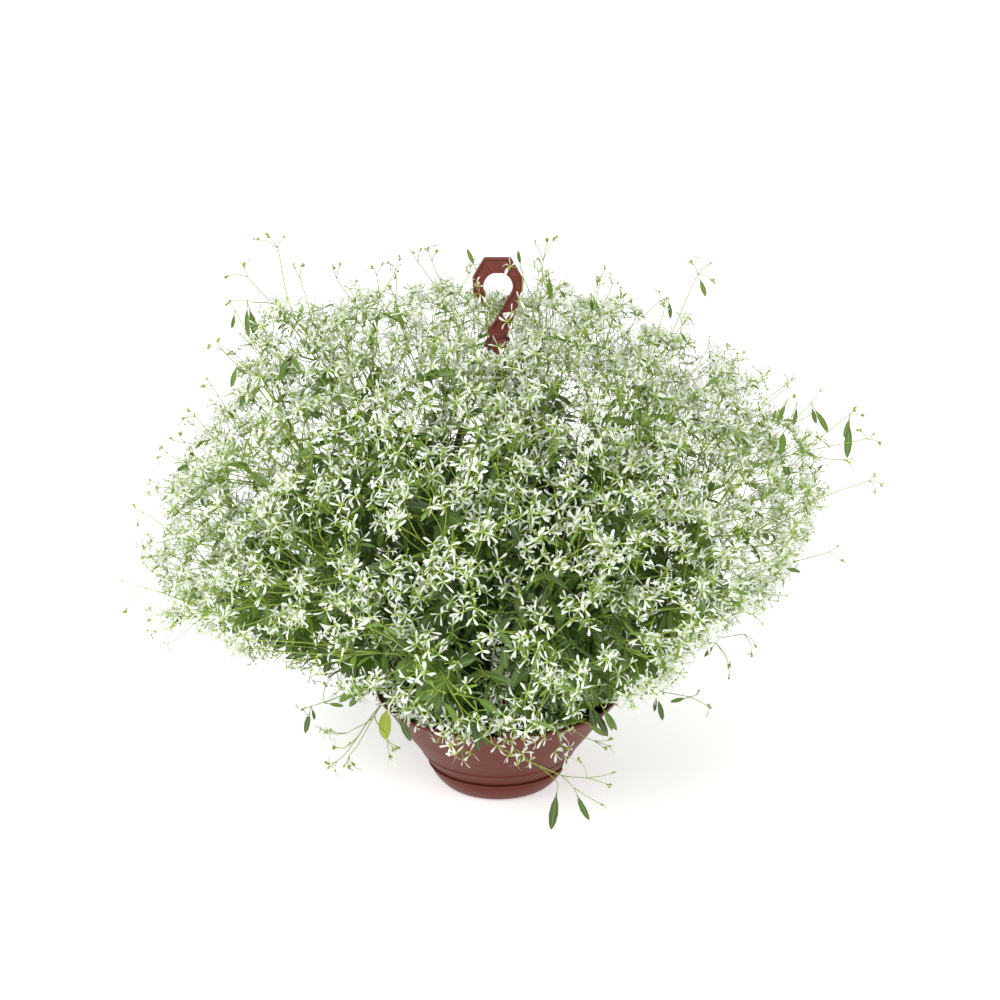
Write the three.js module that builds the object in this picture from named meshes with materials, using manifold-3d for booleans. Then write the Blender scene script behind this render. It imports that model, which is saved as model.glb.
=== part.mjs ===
// A mounded euphorbia with small white bracts, growing in a shallow hanging pot.
// Millimetres, +Z up. The origin is the centre of the underside of the drip saucer,
// and the side that the photograph shows faces -Y.

import * as THREE from "three";
import { mergeVertices } from "three/addons/utils/BufferGeometryUtils.js";
import Module from "manifold-3d";

const wasm = await Module();
wasm.setup();

// Pot, saucer and soil
const RIM_RADIUS = 115;
const POT_HEIGHT = 95;
const RIM_BAND_HEIGHT = 4;
const WALL_THICKNESS = 2.4;
const WALL_FLARE = 0.68; // how far the wall moves out for each millimetre up
const NOTCH_RADIUS = 64;
const NOTCH_HEIGHT = 20;
const BAND_STEP_HEIGHT = 56;
const BAND_STEP = 0.9;
const POT_FLOOR_HEIGHT = 4;
const POT_FLOOR_RADIUS = 44;
const DRAIN_HOLES = 6;
const DRAIN_HOLE_RADIUS = 3.5;
const DRAIN_CIRCLE_RADIUS = 24;
const SAUCER_BASE_RADIUS = 50;
const SAUCER_LIP_RADIUS = 67;
const SAUCER_WALL = 1.8;
const SAUCER_RIB_RADIUS = 37;
const SOIL_HEIGHT = 82;
const SOIL_FLAT_RADIUS = 52;
const ROUND_SEGMENTS = 32;
const GAP = 0.3; // between pieces that touch

// Hanger
const ARM_AZIMUTHS = [275, 155, 35]; // degrees from +X, the first comes towards the viewer
const ARM_WIDTH = 13;
const ARM_THICKNESS = 3.6;
const ARM_EDGE = 1.6;
const ARM_POCKET_DEPTH = 1.4;
const ARM_KNEE = 3; // the strap goes out this far below the hub before it runs straight
const ARM_KNEE_DROP = 6;
const CLIP_TOP_THICKNESS = 3;
const CLIP_OUTER_LEG = 9; // from the rim's top down the outside
const CLIP_INNER_LEG = 5;
const HUB_HEIGHT = 441;
const HUB_RADIUS = 8;
const HUB_DEPTH = 9;
const HUB_THICKNESS = 5;
const HUB_DROP = 4; // from the crossbar's middle to the hub's
const CROSSBAR_HEIGHT = 4;
const EYE_HEIGHT = 481;
const EYE_RADIUS = 13;
const EYE_SEAT_HALF = 4; // half the width of the flat seat at the top of the eye
const HOOK_THICKNESS = 6;
const HOOK_EDGE = 1.7;
const HOOK_POCKET_DEPTH = 1.7;
const HOOK_RIB = 1.6;
const HOOK_BAND_HALF = 5.6; // half the width of the hook's band

// Plant
const SHOOTS = 22;
const CROWN_RADIUS = 40;
const FIRST_AZIMUTH = 0.3; // radians, of the first shoot
const NUDGE = 0.06; // radians that a shoot turns by to pass what is in its way
const SPREAD_RADIUS = 364; // of the mound, seen from above
const MOUND_RISE = 364; // from the rim to the top of the mound
const MOUND_ROUNDNESS = 2.3; // 2 is an ellipse, more is squarer and less slopes straight down
const ROUNDNESS_SWING = 0.9; // how much squarer the mound's fullest shoulder is
const FULLEST_SHOULDER = 130; // degrees, its azimuth
const LOWEST_TILT = 70; // degrees from upright, of the lowest shoots
const SIDE_LEAN = 8; // the left side hangs and the right side lifts by this many degrees
const SIDE_STRETCH = 0.12; // and the right side reaches this much further
const FRONT_STRETCH = 0.05; // and the front this much further
const STEM_RADIUS = 1.6;
const TWIG_RADIUS = 1.0;
const LEAF_LENGTH = 30;
const LEAF_WIDTH = 9;
const LEAF_THICKNESS = 0.9;
const BRACT_REACH = 9.5; // from the middle of a flower head to the tip of a bract
const HEAD_MIDDLE = 2.6;
const HEAD_THICKNESS = 1.2;
const BRANCH_RADIUS = 1.25;
const STEM_LEGS = 4; // straight legs in a leafy stem, a spray's main twig and a low sprig
const SPRAY_LEGS = 3;
const SPRIG_LEGS = 7;
const FORK_AT = 0.5; // share of a shoot's length where the flower spray begins
const LEAF_SHARES = [0.5, 0.72, 0.93]; // where leaves grow, as shares of the leafy stem
const FORK_SHARES = [0.24, 0.44, 0.64]; // where twigs fork off, as shares of the spray
const SPRIG_LEAF_SHARES = [0.68, 0.86, 0.99];
const CLEARANCE = 0.8; // between plant pieces
const OLD_LEAF_LENGTH = 37;
const OLD_LEAF_WIDTH = 17;
const OLD_LEAF_SPRIG = "low_sprig_left";
const OLD_LEAF_SHARE = 0.72; // of the sprig's length, where the old leaf hangs

// Sprigs that hang over the rim, with the points that each passes outside it. A higher
// leaf drop turns the leaves straighter down.
const point = (x, y, z) => new THREE.Vector3(x, y, z);
const lowSprigs = [
  { name: "low_sprig_front_left", outside: [point(-31, -148, 87)], heads: 2, leafDrop: 0.3 },
  {
    name: "low_sprig_front_middle",
    outside: [point(-6, -134, 99), point(17, -154, 86)],
    heads: 2,
    leafDrop: 0.3,
  },
  { name: "low_sprig_front_right", outside: [point(58, -138, 87)], heads: 2, leafDrop: 0.3 },
  { name: "low_sprig_left", outside: [point(-133, -88, 74)], heads: 2, leafDrop: 0.2 },
  { name: "low_sprig_far_left", outside: [point(-179, -44, 82)], heads: 2, leafDrop: 0.2 },
  { name: "low_sprig_right", outside: [point(156, -40, 92)], heads: 2, leafDrop: 0.2 },
  {
    name: "low_sprig_hanging",
    outside: [point(-23, -148, 80), point(19, -160, 72), point(52, -165, 74)],
    heads: 2,
    leafDrop: 3,
  },
];

const materials = {
  pot: new THREE.MeshStandardMaterial({ color: 0x8a5a50, roughness: 0.42, metalness: 0 }),
  saucer: new THREE.MeshStandardMaterial({ color: 0x84523f, roughness: 0.42, metalness: 0 }),
  hanger: new THREE.MeshStandardMaterial({ color: 0x7c4a43, roughness: 0.5, metalness: 0 }),
  soil: new THREE.MeshStandardMaterial({ color: 0x2b2018, roughness: 0.95, metalness: 0 }),
  foliage: new THREE.MeshStandardMaterial({ color: 0x5b7f3a, roughness: 0.6, metalness: 0 }),
  flowers: new THREE.MeshStandardMaterial({ color: 0xeef2e4, roughness: 0.7, metalness: 0 }),
  oldLeaf: new THREE.MeshStandardMaterial({ color: 0xa9b04a, roughness: 0.6, metalness: 0 }),
};

const model = new THREE.Group();

// Solids

// The geometry with only positions, shared vertices merged and collapsed triangles dropped.
function cleaned(geometry) {
  const bare = geometry.clone();
  for (const name of Object.keys(bare.attributes)) {
    if (name !== "position") bare.deleteAttribute(name);
  }
  const merged = mergeVertices(bare, 1e-3);
  const kept = [];
  const index = merged.index.array;
  for (let i = 0; i < index.length; i += 3) {
    const [a, b, c] = [index[i], index[i + 1], index[i + 2]];
    if (a !== b && b !== c && c !== a) kept.push(a, b, c);
  }
  merged.setIndex(kept);
  return merged;
}

function solidOf(geometry) {
  const merged = cleaned(geometry);
  const mesh = new wasm.Mesh({
    numProp: 3,
    vertProperties: new Float32Array(merged.attributes.position.array),
    triVerts: new Uint32Array(merged.index.array),
  });
  return new wasm.Manifold(mesh);
}

function geometryOf(solid) {
  const mesh = solid.getMesh();
  const geometry = new THREE.BufferGeometry();
  geometry.setAttribute("position", new THREE.BufferAttribute(new Float32Array(mesh.vertProperties), 3));
  geometry.setIndex(new THREE.BufferAttribute(new Uint32Array(mesh.triVerts), 1));
  return geometry;
}

function joined(geometries) {
  return geometries.map(solidOf).reduce((whole, piece) => whole.add(piece));
}

function addPiece(name, geometry, material) {
  const mesh = new THREE.Mesh(geometry, material);
  mesh.name = name;
  model.add(mesh);
}

function polygon(points) {
  return new THREE.Shape(points.map(([x, y]) => new THREE.Vector2(x, y)));
}

// A round body about +Z from [radius, height] points.
function turned(profile, segments = ROUND_SEGMENTS) {
  const points = profile.map(([radius, height]) => new THREE.Vector2(radius, height));
  return new THREE.LatheGeometry(points, segments).rotateX(Math.PI / 2);
}

// A round rod along a smooth line through the points.
function rod(points, radius, sides, steps) {
  const corners = [];
  for (let i = 0; i < sides; i += 1) {
    const angle = (2 * Math.PI * i) / sides;
    corners.push([radius * Math.cos(angle), radius * Math.sin(angle)]);
  }
  const extrudePath = new THREE.CatmullRomCurve3(points);
  return new THREE.ExtrudeGeometry(polygon(corners), { steps, extrudePath });
}

// The corners of a rod's middle line, and a point and a direction at a share of its length.
function middleOf(points, steps) {
  return new THREE.CatmullRomCurve3(points).getSpacedPoints(steps);
}

function legAt(middle, share) {
  return Math.min(Math.floor(share * (middle.length - 1)), middle.length - 2);
}

function pointAt(middle, share) {
  const leg = legAt(middle, share);
  return middle[leg].clone().lerp(middle[leg + 1], share * (middle.length - 1) - leg);
}

function directionAt(middle, share) {
  const leg = legAt(middle, share);
  return middle[leg + 1].clone().sub(middle[leg]).normalize();
}

function radians(degrees) {
  return (degrees * Math.PI) / 180;
}

// A point from its distance from the axis, azimuth in radians and height.
function polar(radius, azimuth, height) {
  return new THREE.Vector3(radius * Math.cos(azimuth), radius * Math.sin(azimuth), height);
}

// Pot

function wallRadius(height) {
  return NOTCH_RADIUS + WALL_FLARE * (height - NOTCH_HEIGHT);
}

function makePot() {
  const bandBase = POT_HEIGHT - RIM_BAND_HEIGHT;
  const insideTop = RIM_RADIUS - WALL_THICKNESS;
  const floorTop = POT_FLOOR_HEIGHT + WALL_THICKNESS;
  const outside = [
    [0, POT_FLOOR_HEIGHT],
    [POT_FLOOR_RADIUS, POT_FLOOR_HEIGHT],
    [52, 7.5],
    [59, 14.5],
    [62.6, NOTCH_HEIGHT],
    [63, NOTCH_HEIGHT + 2.5],
    [wallRadius(24), 24],
    [wallRadius(BAND_STEP_HEIGHT), BAND_STEP_HEIGHT],
    [wallRadius(BAND_STEP_HEIGHT) + BAND_STEP, BAND_STEP_HEIGHT + 0.6],
    [wallRadius(bandBase) + 0.4, bandBase],
    [RIM_RADIUS, bandBase + 0.8],
    [RIM_RADIUS, POT_HEIGHT],
  ];
  const inside = [
    [insideTop, POT_HEIGHT],
    [wallRadius(bandBase) - WALL_THICKNESS, bandBase - 2],
    [wallRadius(26) - WALL_THICKNESS, 26],
    [59.4, NOTCH_HEIGHT],
    [56, 15.5],
    [50, 9.6],
    [POT_FLOOR_RADIUS - 1, floorTop],
    [0, floorTop],
  ];
  let pot = solidOf(turned([...outside, ...inside]));
  for (let i = 0; i < DRAIN_HOLES; i += 1) {
    const hole = new THREE.CylinderGeometry(DRAIN_HOLE_RADIUS, DRAIN_HOLE_RADIUS, 12, 10);
    const place = polar(DRAIN_CIRCLE_RADIUS, (2 * Math.PI * i) / DRAIN_HOLES, POT_FLOOR_HEIGHT);
    pot = pot.subtract(solidOf(hole.rotateX(Math.PI / 2).translate(place.x, place.y, place.z)));
  }
  addPiece("pot", geometryOf(pot), materials.pot);
}

// The bowl-shaped saucer that clips on under the pot. Its lip stands proud at the notch,
// and a low ring rib inside carries the pot's floor.
function makeSaucer() {
  const ribTop = POT_FLOOR_HEIGHT - GAP;
  const profile = [
    [0, 0],
    [SAUCER_BASE_RADIUS, 0],
    [54, 2],
    [60.5, 9],
    [64.6, 16],
    [65.6, NOTCH_HEIGHT - 0.5],
    [SAUCER_LIP_RADIUS, NOTCH_HEIGHT],
    [SAUCER_LIP_RADIUS, NOTCH_HEIGHT + 1.6],
    [63.6, NOTCH_HEIGHT + 1.6],
    [63.6, NOTCH_HEIGHT - 0.5],
    [64.6 - SAUCER_WALL, 16],
    [60 - SAUCER_WALL, 10],
    [50, SAUCER_WALL],
    [SAUCER_RIB_RADIUS + 1, SAUCER_WALL],
    [SAUCER_RIB_RADIUS + 1, ribTop],
    [SAUCER_RIB_RADIUS - 1, ribTop],
    [SAUCER_RIB_RADIUS - 1, SAUCER_WALL],
    [0, SAUCER_WALL],
  ];
  addPiece("drip_saucer", cleaned(turned(profile)), materials.saucer);
}

// The root ball in its potting mix: it fills the pot to below the rim, with a rough top.
function makeSoil() {
  const inner = (height) => wallRadius(height) - WALL_THICKNESS - 0.6;
  const profile = [
    [0, POT_FLOOR_HEIGHT + WALL_THICKNESS + GAP],
    [POT_FLOOR_RADIUS - 2, POT_FLOOR_HEIGHT + WALL_THICKNESS + GAP],
    [49, 10.6],
    [55, 16.5],
    [58, NOTCH_HEIGHT + 1],
    [inner(27), 27],
    [inner(SOIL_HEIGHT - 4), SOIL_HEIGHT - 4],
    [inner(SOIL_HEIGHT) - 6, SOIL_HEIGHT - 1.5],
    [82, SOIL_HEIGHT - 3],
    [67, SOIL_HEIGHT - 1.5],
    [SOIL_FLAT_RADIUS, SOIL_HEIGHT],
    [0, SOIL_HEIGHT],
  ];
  const soil = cleaned(turned(profile, 24));
  const place = soil.attributes.position;
  for (let i = 0; i < place.count; i += 1) {
    const [x, y, z] = [place.getX(i), place.getY(i), place.getZ(i)];
    const rough = z > SOIL_HEIGHT - 3.5 && Math.hypot(x, y) > SOIL_FLAT_RADIUS + 1;
    if (rough) place.setZ(i, z + 1.3 * Math.sin(0.21 * x + 1) * Math.cos(0.17 * y));
  }
  addPiece("potting_mix", soil, materials.soil);
}

// Hanger

// The flat question-mark hook, seen from the front: its outline as a band about a middle
// line, wide enough at each station for the raised edges.
function hookStations() {
  const stations = [];
  const middle = EYE_RADIUS + 5;
  for (let angle = 232; angle >= -25; angle -= 36.7) {
    const turn = radians(angle);
    stations.push({ x: middle * Math.cos(turn), z: EYE_HEIGHT + middle * Math.sin(turn) });
  }
  stations.push({ x: 7.5, z: 456 }, { x: 0.5, z: HUB_HEIGHT + 0.5 });
  return stations;
}

// A strip of the band between two of its stations, set in from the edges and from the ends.
function stripCorners(from, to, edgeInset, endInset) {
  const along = new THREE.Vector2(to.x - from.x, to.z - from.z);
  const length = along.length();
  along.normalize();
  const side = new THREE.Vector2(-along.y, along.x);
  const corner = (distance, offset) => [
    from.x + along.x * distance + side.x * offset,
    from.z + along.y * distance + side.y * offset,
  ];
  const half = HOOK_BAND_HALF - edgeInset;
  return [
    corner(endInset, -half),
    corner(length - endInset, -half),
    corner(length - endInset, half),
    corner(endInset, half),
  ];
}

// An outline in X and Z given thickness along Y, centred on the plane y = middle.
function slab(corners, thickness, middle = 0) {
  const shape = new THREE.ExtrudeGeometry(polygon(corners), { depth: thickness, bevelEnabled: false });
  return shape.rotateX(Math.PI / 2).translate(0, middle + thickness / 2, 0);
}

function hookOutline() {
  const outside = [
    [-13.5, 467],
    [-22.2, 475],
    [-22.8, 489],
    [-12.3, 507],
    [11.3, 507],
    [22.8, 487],
    [22, 475],
    [13.4, 452],
    [9, HUB_HEIGHT],
  ];
  const inside = [
    [-8.5, HUB_HEIGHT],
    [0.8, 456],
  ];
  const eye = [];
  const seat = Math.sqrt(EYE_RADIUS ** 2 - EYE_SEAT_HALF ** 2);
  for (const angle of [-45, -20, 5, 30, 52]) {
    const turn = radians(angle);
    eye.push([EYE_RADIUS * Math.cos(turn), EYE_HEIGHT + EYE_RADIUS * Math.sin(turn)]);
  }
  eye.push([EYE_SEAT_HALF, EYE_HEIGHT + seat], [-EYE_SEAT_HALF, EYE_HEIGHT + seat]);
  for (const angle of [128, 150, 175, 200, 222]) {
    const turn = radians(angle);
    eye.push([EYE_RADIUS * Math.cos(turn), EYE_HEIGHT + EYE_RADIUS * Math.sin(turn)]);
  }
  return [...outside, ...inside, ...eye];
}

function makeHook() {
  let hook = solidOf(slab(hookOutline(), HOOK_THICKNESS));
  const stations = hookStations();
  const pocketMiddle = (HOOK_THICKNESS - HOOK_POCKET_DEPTH) / 2 + 0.5;
  for (let i = 0; i + 1 < stations.length; i += 1) {
    const corners = stripCorners(stations[i], stations[i + 1], HOOK_EDGE, HOOK_RIB);
    for (const side of [-1, 1]) {
      const pocket = slab(corners, HOOK_POCKET_DEPTH + 1, side * pocketMiddle);
      hook = hook.subtract(solidOf(pocket));
    }
  }
  const crossbar = new THREE.BoxGeometry(2 * HUB_RADIUS + 3, HUB_DEPTH, CROSSBAR_HEIGHT);
  const hub = new THREE.CylinderGeometry(HUB_RADIUS, HUB_RADIUS, HUB_THICKNESS, 12);
  hook = hook.add(solidOf(crossbar.translate(0, 0, HUB_HEIGHT)));
  hook = hook.add(solidOf(hub.rotateX(Math.PI / 2).translate(0, 0, HUB_HEIGHT - HUB_DROP)));
  addPiece("hanger_hook", geometryOf(hook), materials.hanger);
}

// A flat strap from the hub down to the rim, ending in a clip that straddles the rim. It is
// drawn in a plane through the axis, where x is the distance from the axis.
function makeArm(name, azimuth) {
  const top = HUB_HEIGHT - HUB_DROP - HUB_THICKNESS / 2 - GAP;
  const clipTop = POT_HEIGHT + GAP + CLIP_TOP_THICKNESS;
  const innerLeg = RIM_RADIUS - WALL_THICKNESS - 1.4;
  const outerLeg = RIM_RADIUS + GAP;
  const strapFoot = innerLeg - 0.6;
  const footHeight = clipTop + 4;
  const kneeRadius = HUB_RADIUS + ARM_KNEE;
  const kneeHeight = top - ARM_KNEE_DROP;
  const outline = [
    [HUB_RADIUS - ARM_THICKNESS, top],
    [HUB_RADIUS, top],
    [kneeRadius, kneeHeight],
    [strapFoot + ARM_THICKNESS, footHeight],
    [outerLeg + 2, clipTop],
    [outerLeg + 2, POT_HEIGHT - CLIP_OUTER_LEG],
    [outerLeg, POT_HEIGHT - CLIP_OUTER_LEG],
    [outerLeg, POT_HEIGHT + GAP],
    [innerLeg, POT_HEIGHT + GAP],
    [innerLeg - 2.5, POT_HEIGHT - CLIP_INNER_LEG],
    [innerLeg - 4.5, POT_HEIGHT - CLIP_INNER_LEG],
    [strapFoot - 2, clipTop],
    [strapFoot, footHeight],
    [kneeRadius - ARM_THICKNESS, kneeHeight],
  ];
  const run = new THREE.Vector2(strapFoot + ARM_THICKNESS - kneeRadius, footHeight - kneeHeight);
  const at = (share, offset) => [kneeRadius + run.x * share + offset, kneeHeight + run.y * share];
  const pocket = [
    at(0.02, 1),
    at(0.02, -ARM_POCKET_DEPTH),
    at(0.97, -ARM_POCKET_DEPTH),
    at(0.97, 1),
  ];
  const strap = solidOf(slab(outline, ARM_WIDTH));
  const cut = solidOf(slab(pocket, ARM_WIDTH - 2 * ARM_EDGE));
  const arm = geometryOf(strap.subtract(cut)).rotateZ(radians(azimuth));
  addPiece(name, arm, materials.hanger);
  return polar(HUB_RADIUS, radians(azimuth), top);
}

// Plant

// A repeatable stream of numbers between 0 and 1.
function numberStream(seed) {
  let state = seed;
  return () => {
    state = (state + 0x6d2b79f5) | 0;
    let mixed = Math.imul(state ^ (state >>> 15), 1 | state);
    mixed = (mixed + Math.imul(mixed ^ (mixed >>> 7), 61 | mixed)) ^ mixed;
    return ((mixed ^ (mixed >>> 14)) >>> 0) / 2 ** 32;
  };
}

const random = numberStream(7);

function between(low, high) {
  return low + (high - low) * random();
}

// The space that pieces already hold, as round-ended rods, each with the piece's name.
const held = [];

function hold(owner, points, radius) {
  for (let i = 0; i + 1 < points.length; i += 1) {
    held.push({ owner, from: points[i], to: points[i + 1], radius });
  }
}

function distanceBetween(a, b, c, d) {
  const [u, v, w] = [b.clone().sub(a), d.clone().sub(c), a.clone().sub(c)];
  const [uu, uv, vv] = [u.dot(u) || 1e-9, u.dot(v), v.dot(v) || 1e-9];
  const [uw, vw] = [u.dot(w), v.dot(w)];
  const clamp = THREE.MathUtils.clamp;
  const across = uu * vv - uv * uv;
  let s = across > 1e-9 ? clamp((uv * vw - vv * uw) / across, 0, 1) : 0;
  const t = clamp((uv * s + vw) / vv, 0, 1);
  s = clamp((uv * t - uw) / uu, 0, 1);
  return a.clone().addScaledVector(u, s).distanceTo(c.clone().addScaledVector(v, t));
}

function isFree(owner, points, radius) {
  for (let i = 0; i + 1 < points.length; i += 1) {
    for (const rest of held) {
      if (rest.owner === owner) continue;
      const room = distanceBetween(points[i], points[i + 1], rest.from, rest.to);
      if (room < radius + rest.radius + CLEARANCE) return false;
    }
  }
  return true;
}

// The plant keeps clear of the rim, the arms, the hook's neck and its eye.
function holdPotAndHanger(armTops) {
  const [rimRoom, armRoom, neckRoom, eyeRoom] = [7, 8, 10, 19];
  const rimLine = [];
  for (let i = 0; i <= 24; i += 1) {
    rimLine.push(polar(RIM_RADIUS - 4, (2 * Math.PI * i) / 24, POT_HEIGHT - 6));
  }
  hold("pot", rimLine, rimRoom);
  armTops.forEach((top, i) => {
    hold("hanger", [top, polar(RIM_RADIUS - 3, radians(ARM_AZIMUTHS[i]), POT_HEIGHT)], armRoom);
  });
  hold("hanger", [point(0, 0, HUB_HEIGHT - 8), point(0, 0, EYE_HEIGHT)], neckRoom);
  hold("hanger", [point(-8, 0, EYE_HEIGHT), point(8, 0, EYE_HEIGHT + 8)], eyeRoom);
}

// How far the mound reaches from the middle of the rim, by tilt from upright and azimuth.
function moundReach(tilt, azimuth) {
  const widening = SIDE_STRETCH * Math.cos(azimuth) - FRONT_STRETCH * Math.sin(azimuth);
  const roundness = MOUND_ROUNDNESS + ROUNDNESS_SWING * Math.cos(azimuth - radians(FULLEST_SHOULDER));
  const across = (Math.abs(Math.sin(tilt)) / (SPREAD_RADIUS * (1 + widening))) ** roundness;
  const upward = (Math.abs(Math.cos(tilt)) / MOUND_RISE) ** roundness;
  return (across + upward) ** (-1 / roundness);
}

function isInMound(place) {
  const fromRim = place.clone().setZ(place.z - POT_HEIGHT);
  const tilt = Math.atan2(Math.hypot(place.x, place.y), fromRim.z);
  return fromRim.length() < moundReach(tilt, Math.atan2(place.y, place.x)) - BRACT_REACH;
}

// The line of shoot number i, from the soil to the middle of its flowers. The tips are
// spread evenly over the mound by the golden angle, from the top down.
function shootLine(i, nudge) {
  const azimuth = i * Math.PI * (3 - Math.sqrt(5)) + FIRST_AZIMUTH + nudge;
  const lowest = radians(LOWEST_TILT - SIDE_LEAN * Math.cos(azimuth));
  const tilt = Math.acos(1 - ((i + 0.6) / SHOOTS) * (1 - Math.cos(lowest)));
  const reach = moundReach(tilt, azimuth) - BRACT_REACH;
  const tip = polar(reach * Math.sin(tilt), azimuth, POT_HEIGHT + reach * Math.cos(tilt));
  const share = tilt / radians(LOWEST_TILT);
  const base = polar(CROWN_RADIUS * Math.min(1, share), azimuth, SOIL_HEIGHT + 2 * GAP);
  const rise = base.clone().add(point(0, 0, THREE.MathUtils.lerp(150, 75, share)));
  const heading = polar(1, azimuth, 0.75 - 0.6 * share).normalize();
  const bend = tip.clone().addScaledVector(heading, -0.4 * reach);
  return new THREE.CubicBezierCurve3(base, rise, bend, tip);
}

// The shoot's line, turned about the axis by as little as keeps it clear of what is there.
function clearShootLine(name, i) {
  for (let step = 0; step < 12; step += 1) {
    const nudge = Math.ceil(step / 2) * (step % 2 ? NUDGE : -NUDGE);
    const line = shootLine(i, nudge);
    if (isFree(name, stretch(line, 0, 1, 16), STEM_RADIUS)) return line;
  }
  throw new Error(`${name} finds no clear way`);
}

// A low sprig's line, from the soil up, over the rim and down through the points outside it.
function sprigLine(outside) {
  const first = outside[0];
  const azimuth = Math.atan2(first.y, first.x);
  const radius = Math.hypot(first.x, first.y);
  return new THREE.CatmullRomCurve3([
    polar(CROWN_RADIUS + 7, azimuth, SOIL_HEIGHT + 2 * GAP),
    polar(CROWN_RADIUS + 9, azimuth, SOIL_HEIGHT + 14),
    polar(72, azimuth, POT_HEIGHT + 15),
    polar(RIM_RADIUS - 2, azimuth, POT_HEIGHT + 16),
    polar(0.45 * RIM_RADIUS + 0.55 * radius, azimuth, 0.5 * (POT_HEIGHT + 14 + first.z)),
    ...outside,
  ]);
}

function stretch(line, from, to, count) {
  const points = [];
  for (let i = 0; i <= count; i += 1) points.push(line.getPoint(from + ((to - from) * i) / count));
  return points;
}

// Turns a flat outline, drawn in X and Y about its foot, to point along a direction.
function placed(geometry, foot, direction, roll) {
  const along = direction.clone().normalize();
  const level = Math.abs(along.z) > 0.95 ? point(1, 0, 0) : point(0, 0, 1);
  const side = level.clone().cross(along).normalize().applyAxisAngle(along, roll);
  const normal = along.clone().cross(side);
  const frame = new THREE.Matrix4().makeBasis(along, side, normal).setPosition(foot);
  return geometry.applyMatrix4(frame);
}

function leafGeometry(length, width) {
  const half = width / 2;
  const outline = polygon([
    [-0.6, 0],
    [0.32 * length, -0.9 * half],
    [0.7 * length, -0.9 * half],
    [length, 0],
    [0.7 * length, 0.9 * half],
    [0.32 * length, 0.9 * half],
  ]);
  const leaf = new THREE.ExtrudeGeometry(outline, { depth: LEAF_THICKNESS, bevelEnabled: false });
  return leaf.translate(0, 0, -LEAF_THICKNESS / 2);
}

// A flower head is a flat star of narrow bracts.
function headGeometry(bracts, reach) {
  const corners = [];
  for (let i = 0; i < bracts; i += 1) {
    const middle = (2 * Math.PI * i) / bracts;
    const notch = middle + Math.PI / bracts;
    corners.push([reach * Math.cos(middle), reach * Math.sin(middle)]);
    corners.push([HEAD_MIDDLE * Math.cos(notch), HEAD_MIDDLE * Math.sin(notch)]);
  }
  const star = new THREE.ExtrudeGeometry(polygon(corners), { depth: HEAD_THICKNESS, bevelEnabled: false });
  return star.translate(0, 0, -HEAD_THICKNESS / 2);
}

function randomAcross(direction) {
  const any = new THREE.Vector3(between(-1, 1), between(-1, 1), between(-1, 1));
  return any.cross(direction).normalize();
}

// Adds a leaf at a point of a stem if there is room for it, and says whether there was.
function tryLeaf(owner, solids, foot, direction, length, width) {
  const along = direction.clone().normalize();
  const tip = foot.clone().addScaledVector(along, length);
  const inPot = Math.hypot(tip.x, tip.y) < RIM_RADIUS + 6;
  if (inPot && tip.z < POT_HEIGHT + 4) return false;
  const middle = foot.clone().addScaledVector(along, 0.12 * length);
  if (!isFree(owner, [middle, tip], width / 2)) return false;
  solids.push(placed(leafGeometry(length, width), foot, along, between(-0.6, 0.6)));
  hold(owner, [middle, tip], width / 2);
  return true;
}

function tryHead(owner, solids, centre, facing) {
  const near = centre.clone().addScaledVector(facing, 0.5);
  if (!isFree(owner, [centre, near], BRACT_REACH)) return false;
  const flat = randomAcross(facing);
  const star = headGeometry(4, BRACT_REACH);
  const side = facing.clone().cross(flat);
  const frame = new THREE.Matrix4().makeBasis(flat, side, facing).setPosition(centre);
  solids.push(star.applyMatrix4(frame));
  hold(owner, [centre, near], BRACT_REACH);
  return true;
}

// The leafy lower part of a shoot: one stem with leaves along its upper part.
function makeLeafyStem(name, line) {
  const points = stretch(line, 0, FORK_AT, STEM_LEGS);
  const solids = [rod(points, STEM_RADIUS, 5, STEM_LEGS)];
  const middle = middleOf(points, STEM_LEGS);
  for (const share of LEAF_SHARES) {
    const foot = pointAt(middle, share);
    const along = directionAt(middle, share);
    for (let attempt = 0; attempt < 4; attempt += 1) {
      const direction = along.clone().multiplyScalar(0.6).add(randomAcross(along));
      const length = LEAF_LENGTH * between(0.85, 1.2);
      if (tryLeaf(name, solids, foot, direction, length, LEAF_WIDTH * between(0.85, 1.15))) break;
    }
  }
  addPiece(name, geometryOf(joined(solids)), materials.foliage);
}

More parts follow.
